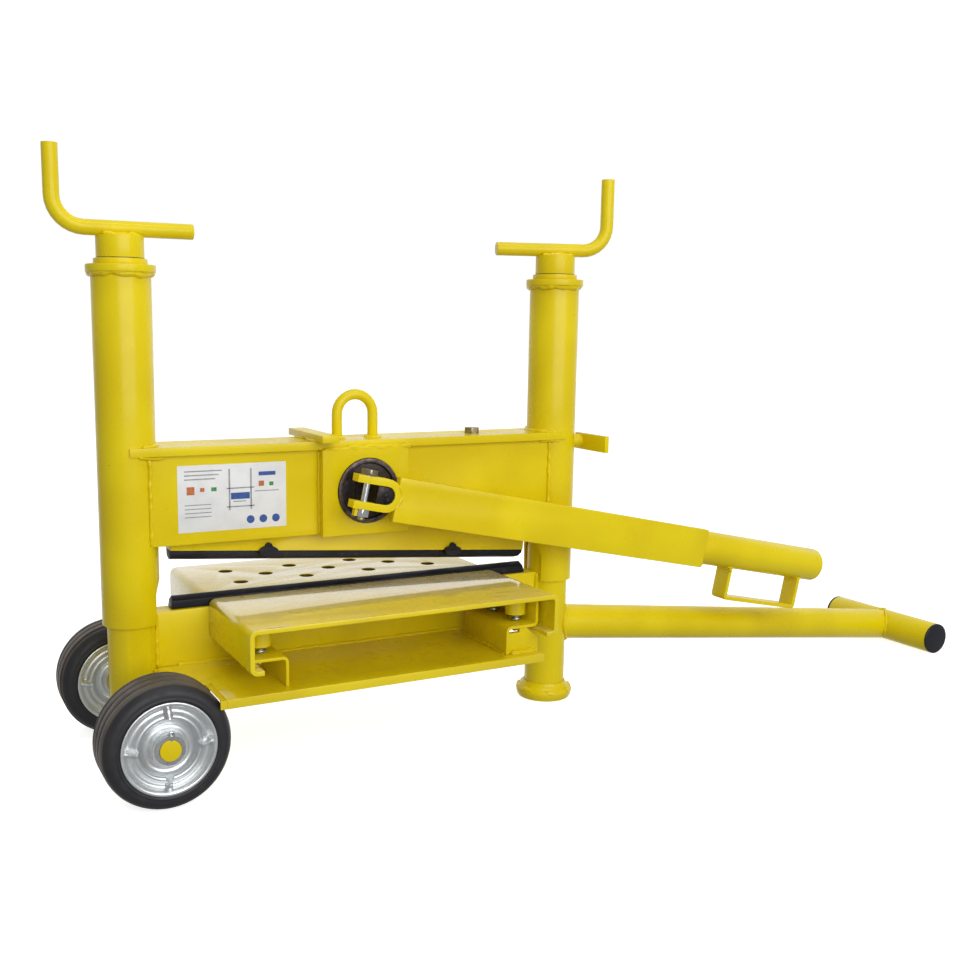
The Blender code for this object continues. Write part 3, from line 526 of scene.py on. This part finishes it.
NODE_FINISH = {
    PAINT: (
        "left_sleeve right_sleeve left_collar right_collar left_post right_post lower_web support_arm "
        "cross_tube axle beam_front_web beam_rear_web front_side_plate rear_side_plate beam_top_flange "
        "cross_bar lifting_eye clamp_screw lever_fork lever_bar grip_tube grip_loop knife_holder "
        "left_crank right_crank left_lifting_screw right_lifting_screw "
        "front_left_spring_bracket front_right_spring_bracket "
        "rear_left_spring_bracket rear_right_spring_bracket"
    ),
    PAINT_DIRTY: "lower_flange",
    PAINT_TABLE: "front_table rear_table",
    BLADE: "upper_blade lower_blade left_blade_bolt right_blade_bolt",
    PLASTIC: "front_end_plug rear_end_plug",
    SHAFT_DARK: "eccentric_shaft eccentric_bush",
    RING_STEEL: "front_bearing_ring rear_bearing_ring",
}
SHARP = {"left_post": 0.0003, "right_post": 0.0003, "left_sleeve": 0.0004, "right_sleeve": 0.0004,
         "left_blade_bolt": 0, "right_blade_bolt": 0}
for finish, names in NODE_FINISH.items():
    for node in names.split():
        finish_node(node, finish, SHARP.get(node, 0.0007))


# ---------------------------------------------------------------- wheels
AXLE = Vector((0.003, 0, 0.065))
TYRE_R = 0.065
WHEEL_IN, WHEEL_OUT = 0.0875, 0.1450
GROOVE_DEPTH = 0.0026
GROOVES = ((-0.0165, -0.0130), (-0.0045, -0.0010), (0.0080, 0.0115))
TYRE_RUBBER = rubber("tyre_rubber", tread=(POST_X + AXLE.x, AXLE.z, TYRE_R - 0.0018))


def tyre_profile():
    """(radius, distance from the middle plane) round a solid rubber tyre with three grooves."""
    half = (WHEEL_OUT - WHEEL_IN) / 2
    side = [
        (0.0478, half - 0.0010), (0.0490, half - 0.0002), (0.0502, half), (0.0512, half - 0.0006),
        (0.0530, half - 0.0004), (0.0550, half - 0.0006), (0.0570, half - 0.0012), (0.0590, half - 0.0024),
        (0.0607, half - 0.0040), (0.0622, half - 0.0062), (0.0634, half - 0.0090), (0.0643, half - 0.0120),
    ]  # fmt: skip
    points = [(r, -y) for r, y in side]
    for low, high in GROOVES:
        crown = TYRE_R - 0.0002
        floor = TYRE_R - GROOVE_DEPTH
        points += [(crown, low - 0.0010), (crown - 0.0004, low), (floor, low + 0.0004)]
        points += [(floor, high - 0.0004), (crown - 0.0004, high), (crown, high + 0.0010)]
    return points + side[::-1]


RIB_R = (0.0290, 0.0428)


def rim_lift(radius, angle):
    """Four ribs pressed across the groove between the rim's edge and its raised ring."""
    if not RIB_R[0] < radius < RIB_R[1]:
        return 0
    off = angle % (TAU / 4)
    off = min(off, TAU / 4 - off) * radius
    along = math.sin(math.pi * (radius - RIB_R[0]) / (RIB_R[1] - RIB_R[0]))
    return 0.0076 * min(1.0, 1.5 * along) * math.exp(-((off / 0.0029) ** 4))


def build_wheels():
    middle = (WHEEL_IN + WHEEL_OUT) / 2
    face = WHEEL_OUT - middle
    # From the outer edge in: edge, groove, raised ring, dish and hub, as offsets from the outer face
    pressed = [
        (0.0474, -0.0012), (0.0472, -0.0003), (0.0464, 0.0), (0.0446, -0.0002), (0.0436, -0.0010),
        (0.0428, -0.0030), (0.0421, -0.0056), (0.0412, -0.0074), (0.0400, -0.0082), (0.0386, -0.0084),
        (0.0372, -0.0081), (0.0358, -0.0072), (0.0345, -0.0056), (0.0333, -0.0042), (0.0320, -0.0035),
        (0.0308, -0.0036), (0.0297, -0.0044), (0.0287, -0.0060), (0.0276, -0.0080), (0.0262, -0.0096),
        (0.0245, -0.0106), (0.0225, -0.0110), (0.0205, -0.0108), (0.0192, -0.0098), (0.0186, -0.0070),
        (0.0182, -0.0020), (0.0178, 0.0002), (0.0170, 0.0009), (0.0140, 0.0009), (0.0132, 0.0003),
        (0.0120, 0.0000),
    ]  # fmt: skip
    for side, sign in (("front", -1), ("rear", 1)):
        centre = (AXLE.x, sign * middle, AXLE.z)
        tyre = [(r, sign * y) for r, y in tyre_profile()]
        body = f"{side}_wheel"
        ring = lathe(tyre, "Y", centre, 160)
        piece(f"{side}_tyre_grooved", ring, body, TYRE_RUBBER, [f"{side}_tyre"])
        rim = bmesh.new()
        for out in (1, -1):
            half = [(r, sign * out * (face + y)) for r, y in pressed]
            closing = [(0.0120, sign * out * 0.0005), (0.0474, sign * out * 0.0005)]

            def lift(radius, angle, way=sign * out, pressed_radii=dict(pressed)):
                return way * rim_lift(radius, angle) if radius in pressed_radii else 0

            lathe(half + closing, "Y", centre, 240, rim, lift)
        piece(f"{side}_rim_pressed", rim, body, RIM, [f"{side}_wheel_rim"])

        # The split pin that keeps the wheel on, beside the axle's painted end
        pin_y = sign * (WHEEL_OUT + 0.0024)
        x, z = AXLE.x, AXLE.z
        pin = rod([(x + 0.0010, pin_y, z + 0.0100), (x + 0.0012, pin_y, z + 0.0146)], 0.0016, step=0.0005)
        eye = [
            (x + 0.0012 + 0.0025 * math.cos(a), pin_y, z + 0.0160 + 0.0025 * math.sin(a))
            for a in (TAU * k / 20 for k in range(20))
        ]
        rod(eye, 0.0011, 8, True, pin)
        rod([(x - 0.0002, pin_y, z - 0.0100), (x - 0.0032, pin_y, z - 0.0138)], 0.0010, 8, bm=pin)
        rod([(x + 0.0008, pin_y, z - 0.0100), (x + 0.0038, pin_y, z - 0.0134)], 0.0010, 8, bm=pin)
        piece(f"{side}_split_pin", pin, "base", ZINC)
        low, high = sorted((sign * (WHEEL_OUT + 0.0011), sign * (WHEEL_OUT + 0.0019)))
        washer = lathe([(0.0110, low), (0.0150, low), (0.0150, high), (0.0110, high)], "Y", (x, 0, z), 48)
        piece(f"{side}_axle_washer", washer, "base", ZINC)


# ---------------------------------------------------------------- springs and their studs
TABLE_CENTRE_X = 0.25925
CUP_DX = 0.1535
CUP_Y = (0.060, 0.110)
SHELF_Z = 0.1393
TABLE_UNDER_Z = 0.1725


def build_springs():
    wire, mean, turns = 0.0012, 0.0064, 11
    low, high = SHELF_Z + 0.0003 + wire, TABLE_UNDER_Z - 0.0003 - wire
    for row, sign in (("front", -1), ("rear", 1)):
        studs = bmesh.new()
        for side, dx in (("left", -CUP_DX), ("right", CUP_DX)):
            for place, y in zip(("inner", "outer"), CUP_Y):
                x = TABLE_CENTRE_X + dx
                name = f"{row}_{side}_{place}"
                steps = 20 * turns
                path = [
                    (
                        x + mean * math.cos(TAU * turns * i / steps),
                        sign * y + mean * math.sin(TAU * turns * i / steps),
                        low + (high - low) * i / steps,
                    )
                    for i in range(steps + 1)
                ]
                coil = piece(
                    f"{name}_coil", rod(path, wire, 8), "base", SPRING, [f"{name}_spring"]
                )
                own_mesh(coil)
                at_stud = Matrix.Translation((x, sign * y, 0))
                merged(studs, moved(hexagon(0.010, SHELF_Z - 0.0085, SHELF_Z - 0.0037), at_stud))
                merged(studs, moved(threaded(0.0030, SHELF_Z - 0.0120, SHELF_Z - 0.0080), at_stud))
                merged(studs, moved(threaded(0.0040, SHELF_Z + 0.0002, SHELF_Z + 0.0060), at_stud))
        piece(f"{row}_spring_studs", studs, "base", ZINC)


# ---------------------------------------------------------------- cranks, bolts and shaft details
HUB_TOP_Z = 0.561


def circle(x, y, radius, z, start=0.0, stop=360.0, count=64):
    """Points round a vertical axis; without the last one for a whole turn."""
    whole = stop - start >= 360
    angles = [math.radians(start + (stop - start) * k / count) for k in range(count if whole else count + 1)]
    return [(x + radius * math.cos(a), y + radius * math.sin(a), z) for a in angles]


def build_cranks():
    for side, x, turn in (("left", 0, math.pi), ("right", POST_SPACING, math.radians(-16))):
        place = AT_MACHINE @ Matrix.Translation((x, 0, 0)) @ Matrix.Rotation(turn, 4, "Z")
        bead = bmesh.new()
        for sign in (-1, 1):
            line = [(-0.0195, sign * 0.0085, HUB_TOP_Z + 0.0006), (0.0195, sign * 0.0085, HUB_TOP_Z + 0.0006)]
            weld(bead, line, 0.0028, 3 + sign + x, wander=0.4, wave=0.0008, wave_length=0.011)
        # A thin black ring in the gap between the thrust ring and the hub: painted shade of the gap
        shadow = lathe([(0.020, 0.5377), (0.0243, 0.5377), (0.0243, 0.5388), (0.020, 0.5388)], sides=64)
        piece(f"{side}_hub_gap_shade", shadow, f"{side}_crank", PLASTIC, place=place)
        piece(f"{side}_crank_weld", bead, f"{side}_crank", PAINT_WELD, place=place)


STOP_BOLT_X = 0.413
STOP_BOLT_TOP_Z = 0.3532
LEVER_BOLT = (-0.0175, -0.06825)
LEVER_BOLT_R = 0.004
TINE_OUTER = 0.0187


def build_bolts():
    under_head = STOP_BOLT_TOP_Z - 0.0064
    stop = hexagon(0.017, under_head, STOP_BOLT_TOP_Z)
    low, high = under_head - 0.0002, under_head + 0.0002
    lathe([(0, low), (0.0088, low), (0.0088, high), (0, high)], sides=36, bm=stop)
    tip, radius = 0.300, 0.005
    shank = [(0, tip), (radius - 0.0004, tip), (radius, tip + 0.001), (radius, under_head), (0, under_head)]
    lathe(shank, sides=28, bm=stop)
    stop.transform(Matrix.Translation((STOP_BOLT_X, 0, 0)))
    piece("stop_bolt_hex", stop, "beam", BRONZED, ["stop_bolt"])

    # The lever's bolt: head on top, zinc shank between the tines, lock nut and thread below
    at_bolt = AT_LEVER @ Matrix.Translation((*LEVER_BOLT, 0))
    head = hexagon(0.017, TINE_OUTER + 0.0003, TINE_OUTER + 0.0067, turn=0.35)
    piece("lever_bolt_head", head, "lever", BRONZED, place=at_bolt)
    reach = TINE_OUTER + 0.002
    shank = lathe([(0, -reach), (LEVER_BOLT_R, -reach), (LEVER_BOLT_R, reach), (0, reach)], sides=32)
    merged(shank, hexagon(0.015, -TINE_OUTER - 0.0082, -TINE_OUTER - 0.0003, turn=0.15))
    threaded(LEVER_BOLT_R, -TINE_OUTER - 0.0120, -TINE_OUTER - 0.0080, bm=shank)
    piece("lever_bolt_shank", shank, "lever", ZINC, ["lever_bolt"], place=at_bolt)
    tab = block((-0.0105, -0.0072), (-0.004, 0.003), (-TINE_OUTER - 0.0085, -TINE_OUTER + 0.001), 0.0006)
    piece("lever_bolt_tab", tab, "lever", PAINT, place=at_bolt)


def build_shaft_details():
    """The raised boss round the tongue, and near-black shallow discs in the tongue's end that paint the shade
    inside its drill holes.
    """
    root, rim, crown = -0.0372, -0.0388, -0.0396
    boss = lathe([(0, root), (0.0168, root), (0.0168, rim), (0.0160, crown), (0, crown)], "Y", sides=64)
    piece("shaft_boss", boss, "lever", SHAFT_DARK, place=AT_LEVER)
    marks = bmesh.new()
    for s, t in ((0.0035, 0.0018), (0.0068, -0.0034)):
        lathe([(0, -0.07605), (0.0016, -0.07605), (0.0018, -0.0762), (0.0013, -0.07612), (0, -0.07608)],
              "Y", (s, 0, t), 20, marks)
    piece("shaft_drill_hole_shade", marks, "lever", PLASTIC, place=AT_LEVER)


# ---------------------------------------------------------------- weld beads
SLEEVE_R = 0.03015
COLLAR_UNDER_Z = 0.5230
WEB_FACE_Y = 0.025
WEB_BOTTOM_Z = 0.2420
FLANGE_UNDER_Z = 0.3375
BEAM_TOP_Z = 0.3465
SIDE_PLATE_X = (0.205, 0.310)
SIDE_PLATE_Y = 0.0345
CROSS_BAR_X = (0.1975, 0.2185)
EYE_X = 0.259
EYE_LEG_DX = 0.0222
EYE_LEG_R = 0.0074


def weld_sleeve(bm, i, x):
    """The beads round one sleeve: under its collar, and where the beam meets it."""
    weld(bm, circle(x, 0, SLEEVE_R + 0.0004, COLLAR_UNDER_Z), 0.0034, 11 + i, True, 0.4, 0.0010, 0.0197)
    weld(bm, circle(x, 0, SLEEVE_R + 0.0018, COLLAR_UNDER_Z + 0.0016), 0.0022, 17 + i, True, 0.4)
    inward, start = (1, 0) if i == 0 else (-1, 180)
    over = circle(x, 0, SLEEVE_R + 0.001, BEAM_TOP_Z + 0.0006, start - 72, start + 72)
    weld(bm, over, 0.0024, 21 + i, wander=0.4)
    for sign in (-1, 1):
        edge = x + inward * (math.sqrt(SLEEVE_R**2 - WEB_FACE_Y**2) + 0.0012)
        y = sign * (WEB_FACE_Y + 0.0006)
        corner = [(edge, y, WEB_BOTTOM_Z + 0.001), (edge, y, FLANGE_UNDER_Z - 0.002)]
        weld(bm, corner, 0.0022, 25 + 2 * i + sign, wander=0.3)
        under = [
            (x + inward * 0.006, sign * 0.0305, 0.3366), (x + inward * 0.018, sign * 0.0275, 0.3360),
            (x + inward * 0.034, sign * 0.0262, 0.3364),
        ]  # fmt: skip
        weld(bm, under, 0.0022, 31 + 2 * i + sign, wander=0.5)


def weld_side_plate(bm, sign):
    """The beads along one side plate's top and sides, and at the cross bar's end above it."""
    (left, right), y = SIDE_PLATE_X, sign * SIDE_PLATE_Y
    ledge = [(left + 0.003, y, FLANGE_UNDER_Z), (right - 0.004, y, FLANGE_UNDER_Z)]
    weld(bm, ledge, 0.0024, 41 + sign, wander=0.35)
    heavy = [(0.2350, sign * 0.0338, 0.3392), (0.3150, sign * 0.0338, 0.3385)]
    weld(bm, heavy, 0.0034, 45 + sign, wander=0.35)
    for x, out in ((left, -0.0006), (right, 0.0006)):
        side = [(x + out, sign * 0.0262, WEB_BOTTOM_Z), (x + out, sign * 0.0262, 0.3350)]
        weld(bm, side, 0.0016, 49 + sign + 10 * x, wander=0.4)
    low, high = CROSS_BAR_X
    tail = [(low, sign * 0.0318, BEAM_TOP_Z + 0.0003), (high, sign * 0.0318, BEAM_TOP_Z + 0.0003)]
    weld(bm, tail, 0.0019, 55 + sign, wander=0.4)
    for x in (low + 0.0003, high - 0.0003):
        along = [(x, sign * 0.006, BEAM_TOP_Z + 0.0005), (x, sign * 0.031, BEAM_TOP_Z + 0.0005)]
        weld(bm, along, 0.0016, 59 + sign + 10 * x)


def build_beam_welds():
    bm = bmesh.new()
    for i, x in enumerate((0, POST_SPACING)):
        weld_sleeve(bm, i, x)
    for sign in (-1, 1):
        weld_side_plate(bm, sign)
    for i, x in enumerate((EYE_X - EYE_LEG_DX, EYE_X + EYE_LEG_DX)):
        weld(bm, circle(x, 0, EYE_LEG_R, BEAM_TOP_Z + 0.0004), 0.0023, 65 + i, True, 0.4)
    weld(bm, circle(EYE_X + EYE_LEG_DX, 0, EYE_LEG_R + 0.0018, BEAM_TOP_Z + 0.0001), 0.0016, 68, True, 0.5)
    piece("beam_welds", bm, "beam", PAINT_WELD)


POST_R = 0.0255
FLANGE_Z = (0.0976, 0.1069)
FLANGE_END_X = (0.0536, 0.0604)
FLANGE_END_Y = (0.0900, 0.1436, 0.1459)
ON_FLANGE_Z = 0.1078
LEFT_BRACKET_LEG_X, RIGHT_BRACKET_LEG_X = 0.1265, 0.392
ARM_R = 0.02225
ARM_ROOT, ARM_END = (0.540, 0.0968), (1.158, ARM_R)


def build_flange_ends():
    """The lower flange's end slopes down beside the tyre, and its corner reaches past the tyre's shoulder."""
    (tip, root), (low, high) = FLANGE_END_X, FLANGE_Z
    inner, shoulder, outer = FLANGE_END_Y
    slope = ((root, low), (root, high), (tip, high))
    corner = ((root, low), (root, high), (tip, high), (tip, low))
    for side, sign in (("front", -1), ("rear", 1)):
        end = bmesh.new()
        for section, near, far in ((slope, inner, shoulder), (corner, shoulder, outer)):
            rings = [[end.verts.new((x, sign * y, z)) for x, z in section] for y in (near, far)]
            for ring in rings:
                end.faces.new(ring)
            for k in range(len(section)):
                j = (k + 1) % len(section)
                end.faces.new((rings[0][k], rings[0][j], rings[1][j], rings[1][k]))
        piece(f"{side}_flange_end", end, "base", PAINT_DIRTY)


def build_foot():
    """A shallow pressed cup round the right post's lower end."""
    cup = [
        (0, 0), (0.0305, 0), (0.0330, 0.0008), (0.0347, 0.0036), (0.0357, 0.0078), (0.0360, 0.0104),
        (0.0353, 0.0120), (0.0300, 0.0160), (0.0276, 0.0190), (0.0268, 0.0214), (0.0258, 0.0214),
        (0.0258, 0.0092), (0, 0.0092),
    ]  # fmt: skip
    foot = lathe(cup, "Z", (POST_SPACING, 0, 0), 96)
    piece("foot_cup", foot, "base", PAINT, ["foot_disc"])


def weld_arm(bm):
    """The beads where the sloping support arm meets the post and the cross tube."""
    slope = (ARM_END[1] - ARM_ROOT[1]) / (ARM_END[0] - ARM_ROOT[0])
    root, tip = [], []
    for k in range(64):
        angle = TAU * k / 64
        y, up = ARM_R * math.sin(angle), ARM_R * math.cos(angle) * math.sqrt(1 + slope**2)
        x = POST_SPACING + math.sqrt(POST_R**2 - y**2) + 0.0012
        root.append((x, y * 1.03, ARM_ROOT[1] + slope * (x - ARM_ROOT[0]) + up * 1.03))
        x = ARM_END[0] - ARM_R * abs(math.sin(angle)) - 0.0008
        if ARM_END[1] + up * 1.02 > 0.0025:
            tip.append((x, y * 1.03, max(0.003, ARM_R + slope * (x - ARM_END[0]) + up * 1.02)))
    weld(bm, root, 0.0026, 71, True, 0.3)
    # The bead at the tip starts and ends underneath, where the tubes lie on the ground
    tip = tip[len(tip) // 2 + 1 :] + tip[: len(tip) // 2 + 1]
    weld(bm, tip, 0.0022, 73, False, 0.35)


def weld_lower_frame(bm, sign):
    """The beads on one side of the lower web, and at the feet of that side's spring brackets."""
    for i, x in enumerate((0, POST_SPACING)):
        inward = 1 if i == 0 else -1
        edge = x + inward * (math.sqrt(POST_R**2 - 0.012**2) + 0.0012)
        upright = [(edge, sign * 0.0128, 0.1090), (edge, sign * 0.0128, 0.1660)]
        weld(bm, upright, 0.0024, 81 + sign + 2 * i)
    web_foot = [(0.045, sign * 0.0130, ON_FLANGE_Z), (0.470, sign * 0.0130, ON_FLANGE_Z)]
    weld(bm, web_foot, 0.0020, 85 + sign, wander=0.35)
    for x, seed in ((LEFT_BRACKET_LEG_X + 0.0008, 89.88), (RIGHT_BRACKET_LEG_X - 0.0042, 92.92)):
        foot = [(x, sign * 0.038, ON_FLANGE_Z), (x, sign * 0.129, ON_FLANGE_Z)]
        weld(bm, foot, 0.0014, seed + sign, wander=0.35)
    gusset = [(0.3940, sign * 0.1322, 0.1084), (0.4290, sign * 0.1322, 0.1084)]
    weld(bm, gusset, 0.0026, 95 + sign, wander=0.4)
    upper = [(0.3960, sign * 0.1310, 0.1106), (0.4270, sign * 0.1310, 0.1100)]
    weld(bm, upper, 0.0020, 97 + sign, wander=0.5)


def build_base_welds():
    bm = bmesh.new()
    weld_arm(bm)
    weld(bm, circle(POST_SPACING, 0, POST_R + 0.0072, 0.0112), 0.0030, 75, True, 0.45, 0.0012, 0.020)
    for sign in (-1, 1):
        weld_lower_frame(bm, sign)
    piece("base_welds", bm, "base", PAINT_WELD)


BAR_FRONT_Y, BAR_BACK_Y = -0.0757, -0.0668
BAR_END_S = 0.4724
BAR_OFFSET = -0.0025
FORK_BEND_S, FORK_OUTER_R = 0.005, 0.0186
GRIP_R, GRIP_AXIS_Y = 0.02225, -0.05375
GRIP_LOOP_S = (0.5332, 0.6599)
GRIP_LOOP_HALF = 0.0120


def build_lever_welds():
    bm = bmesh.new()
    turns = [math.radians(a) for a in range(-46, 47, 4)]
    for y, radius, seed, wander in ((BAR_FRONT_Y + 0.0009, 0.0024, 101, 0.2), (-0.0652, 0.0026, 103, 0.3)):
        arc = [(FORK_BEND_S + FORK_OUTER_R * math.cos(a), y, FORK_OUTER_R * math.sin(a)) for a in turns]
        weld(bm, arc, radius, seed, wander=wander)
    weld(bm, [(BAR_END_S, -0.0750, -0.0255), (BAR_END_S, -0.0750, 0.0205)], 0.0011, 105, wander=0.3)
    for t in (-0.0250, 0.0200):
        weld(bm, [(0.415, BAR_BACK_Y, t), (0.470, BAR_BACK_Y, t)], 0.0016, 107 + t, wander=0.35)
    for i, s in enumerate(GRIP_LOOP_S):
        for sign in (-1, 1):
            across = []
            for k in range(-3, 4):
                w = GRIP_LOOP_HALF * k / 3
                t = BAR_OFFSET - math.sqrt(GRIP_R**2 - w**2) - 0.0004
                across.append((s + sign * 0.0032, GRIP_AXIS_Y + w, t))
            weld(bm, across, 0.0019, 111 + sign + 3 * i, wander=0.4)
    weld(bm, [(0.5316, BAR_BACK_Y, -0.0230), (0.5318, BAR_BACK_Y - 0.0004, -0.0290)], 0.0022, 121)
    piece("lever_welds", bm, "lever", PAINT_WELD, place=AT_LEVER)


# ---------------------------------------------------------------- label
def build_label():
    """A plain film with generic strokes and blocks of colour, on the front web beside the left sleeve."""
    left, right, low, high = 0.0463, 0.1662, 0.2542, 0.3260
    y = -WEB_FACE_Y - 0.00012
    film = block((left, right), (y - 0.00012, y), (low, high), 0.00005)
    piece("label_film", film, "beam", LABEL)
    front = y - 0.00014
    width, height = right - left, high - low

    def patch(bm, a, b, c, d):
        """A filled rectangle between shares a-b of the film's width and c-d of its height."""
        across = (left + a * width, left + b * width)
        upward = (low + c * height, low + d * height)
        block(across, (front - 0.00004, front), upward, bm=bm)

    grey, blue, orange, green = (bmesh.new() for _ in range(4))
    for row in (0.90, 0.84, 0.78):
        patch(grey, 0.06, 0.40 - 0.05 * (0.9 - row) * 10, row, row + 0.018)
    for row in (0.40, 0.34, 0.28, 0.22):
        patch(grey, 0.06, 0.30, row, row + 0.014)
    # A schematic of a frame: two uprights, a bar and a lever
    patch(grey, 0.46, 0.475, 0.30, 0.92)
    patch(grey, 0.66, 0.675, 0.30, 0.92)
    patch(grey, 0.44, 0.70, 0.62, 0.64)
    patch(grey, 0.44, 0.70, 0.34, 0.36)
    patch(grey, 0.70, 0.93, 0.56, 0.575)
    patch(grey, 0.50, 0.62, 0.42, 0.435)
    patch(blue, 0.48, 0.655, 0.46, 0.56)
    patch(blue, 0.74, 0.90, 0.80, 0.86)
    patch(orange, 0.08, 0.15, 0.56, 0.68)
    patch(orange, 0.74, 0.79, 0.64, 0.72)
    patch(orange, 0.20, 0.24, 0.60, 0.66)
    patch(green, 0.30, 0.35, 0.60, 0.66)
    patch(green, 0.84, 0.88, 0.64, 0.70)
    for share in (0.66, 0.78, 0.90):
        lathe(
            [(0, front - 0.00005), (0.0044, front - 0.00005), (0.0044, front), (0, front)],
            "Y", (left + share * width, 0, low + 0.14 * height), 32, blue,
        )  # fmt: skip
    piece("label_grey", grey, "beam", INK_GREY)
    piece("label_blue", blue, "beam", INK_BLUE)
    piece("label_orange", orange, "beam", INK_ORANGE)
    piece("label_green", green, "beam", INK_GREEN)


HOLE_CENTRE_X, HOLE_PITCH = 0.2583, 0.0812
HOLE_ROWS = ((0.050, 4), (0.081, 3), (0.111, 4))
HOLE_WALL_R = (0.0082, 0.0087)
HOLE_WALL_Z = (0.1726, 0.1768)


def build_hole_walls():
    """Dark liners in the rear table's holes: painted shade on the hole walls."""
    walls = bmesh.new()
    (inner, outer), (low, high) = HOLE_WALL_R, HOLE_WALL_Z
    for y, count in HOLE_ROWS:
        for i in range(count):
            place = (HOLE_CENTRE_X + HOLE_PITCH * (i - (count - 1) / 2), y, 0)
            lathe([(inner, low), (outer, low), (outer, high), (inner, high)], "Z", place, 32, walls)
    piece("rear_hole_wall_shade", walls, "rear_table", PAINT_SHADE)


build_wheels()
build_springs()
build_cranks()
build_bolts()
build_shaft_details()
build_beam_welds()
build_flange_ends()
build_foot()
build_base_welds()
build_lever_welds()
build_label()
build_hole_walls()


# ---------------------------------------------------------------- floor, light and camera
# A white backdrop stands behind the machine; the rest of the room is dimmer.
BACKDROP_SIDE = (0.4547, 0.8810, 0.13)
ROOM_LIGHT = 0.36


def build_stage():
    floor = bmesh.new()
    bmesh.ops.create_grid(floor, x_segments=1, y_segments=1, size=14)
    mesh = bpy.data.meshes.new("floor")
    floor.to_mesh(mesh)
    floor.free()
    obj = bpy.data.objects.new("floor", mesh)
    bpy.context.scene.collection.objects.link(obj)
    obj.location.z = -0.0004
    mat = bpy.data.materials.new("floor_white")
    mat.use_nodes = True
    shader = mat.node_tree.nodes["Principled BSDF"]
    shader.inputs["Base Color"].default_value = (0.80, 0.80, 0.80, 1)
    shader.inputs["Roughness"].default_value = 1.0
    shader.inputs["Specular IOR Level"].default_value = 0.0
    shader.inputs["Emission Color"].default_value = (1, 1, 1, 1)
    shader.inputs["Emission Strength"].default_value = 0.75
    mesh.materials.append(mat)
    # The floor's own glow is for the eye: what lights the machine from below is the darker world.
    obj.visible_diffuse = False
    obj.visible_glossy = False

    world = bpy.data.worlds.new("studio")
    bpy.context.scene.world = world
    world.use_nodes = True
    tree = world.node_tree
    sky = tree.nodes["Background"]
    sky.inputs["Strength"].default_value = 1.0
    direction = tree.nodes.new("ShaderNodeTexCoord").outputs["Generated"]
    towards = tree.nodes.new("ShaderNodeVectorMath")
    towards.operation = "DOT_PRODUCT"
    towards.inputs[1].default_value = BACKDROP_SIDE
    tree.links.new(direction, towards.inputs[0])
    share = tree.nodes.new("ShaderNodeMapRange")
    share.interpolation_type = "SMOOTHSTEP"
    tree.links.new(towards.outputs["Value"], share.inputs["Value"])
    for key, number in zip(("From Min", "From Max", "To Min", "To Max"), (0.25, 0.70, ROOM_LIGHT, 1.02)):
        share.inputs[key].default_value = number
    tree.links.new(share.outputs["Result"], sky.inputs["Color"])


def add_area(name, place, target, size, watts):
    light = bpy.data.lights.new(name, "AREA")
    light.shape = "RECTANGLE"
    light.size, light.size_y = size
    light.energy = watts
    obj = bpy.data.objects.new(name, light)
    bpy.context.scene.collection.objects.link(obj)
    obj.location = place
    direction = Vector(target) - Vector(place)
    obj.rotation_euler = direction.to_track_quat("-Z", "Y").to_euler()


def build_camera():
    data = bpy.data.cameras.new("camera")
    data.sensor_width = 36
    data.lens = 40.483
    data.shift_x = 0.05773
    data.shift_y = 0.00784
    camera = bpy.data.objects.new("camera", data)
    bpy.context.scene.collection.objects.link(camera)
    camera.matrix_world = (
        Matrix.Translation((-0.792725, -1.1636, 0.4734))
        @ Matrix.Rotation(math.radians(-27.2882), 4, "Z")
        @ Matrix.Rotation(math.radians(90 - 8.8081), 4, "X")
        @ Matrix.Rotation(math.radians(0.6542), 4, "Z")
    )
    bpy.context.scene.camera = camera


build_stage()
add_area("key", (-0.1, -2.8, 1.25), (-0.05, 0, 0.3), (3.0, 2.0), 60)
add_area("top", (-0.2, -0.6, 2.2), (0, 0, 0.2), (1.6, 0.35), 9)
build_camera()
bpy.context.scene.view_settings.view_transform = "Standard"
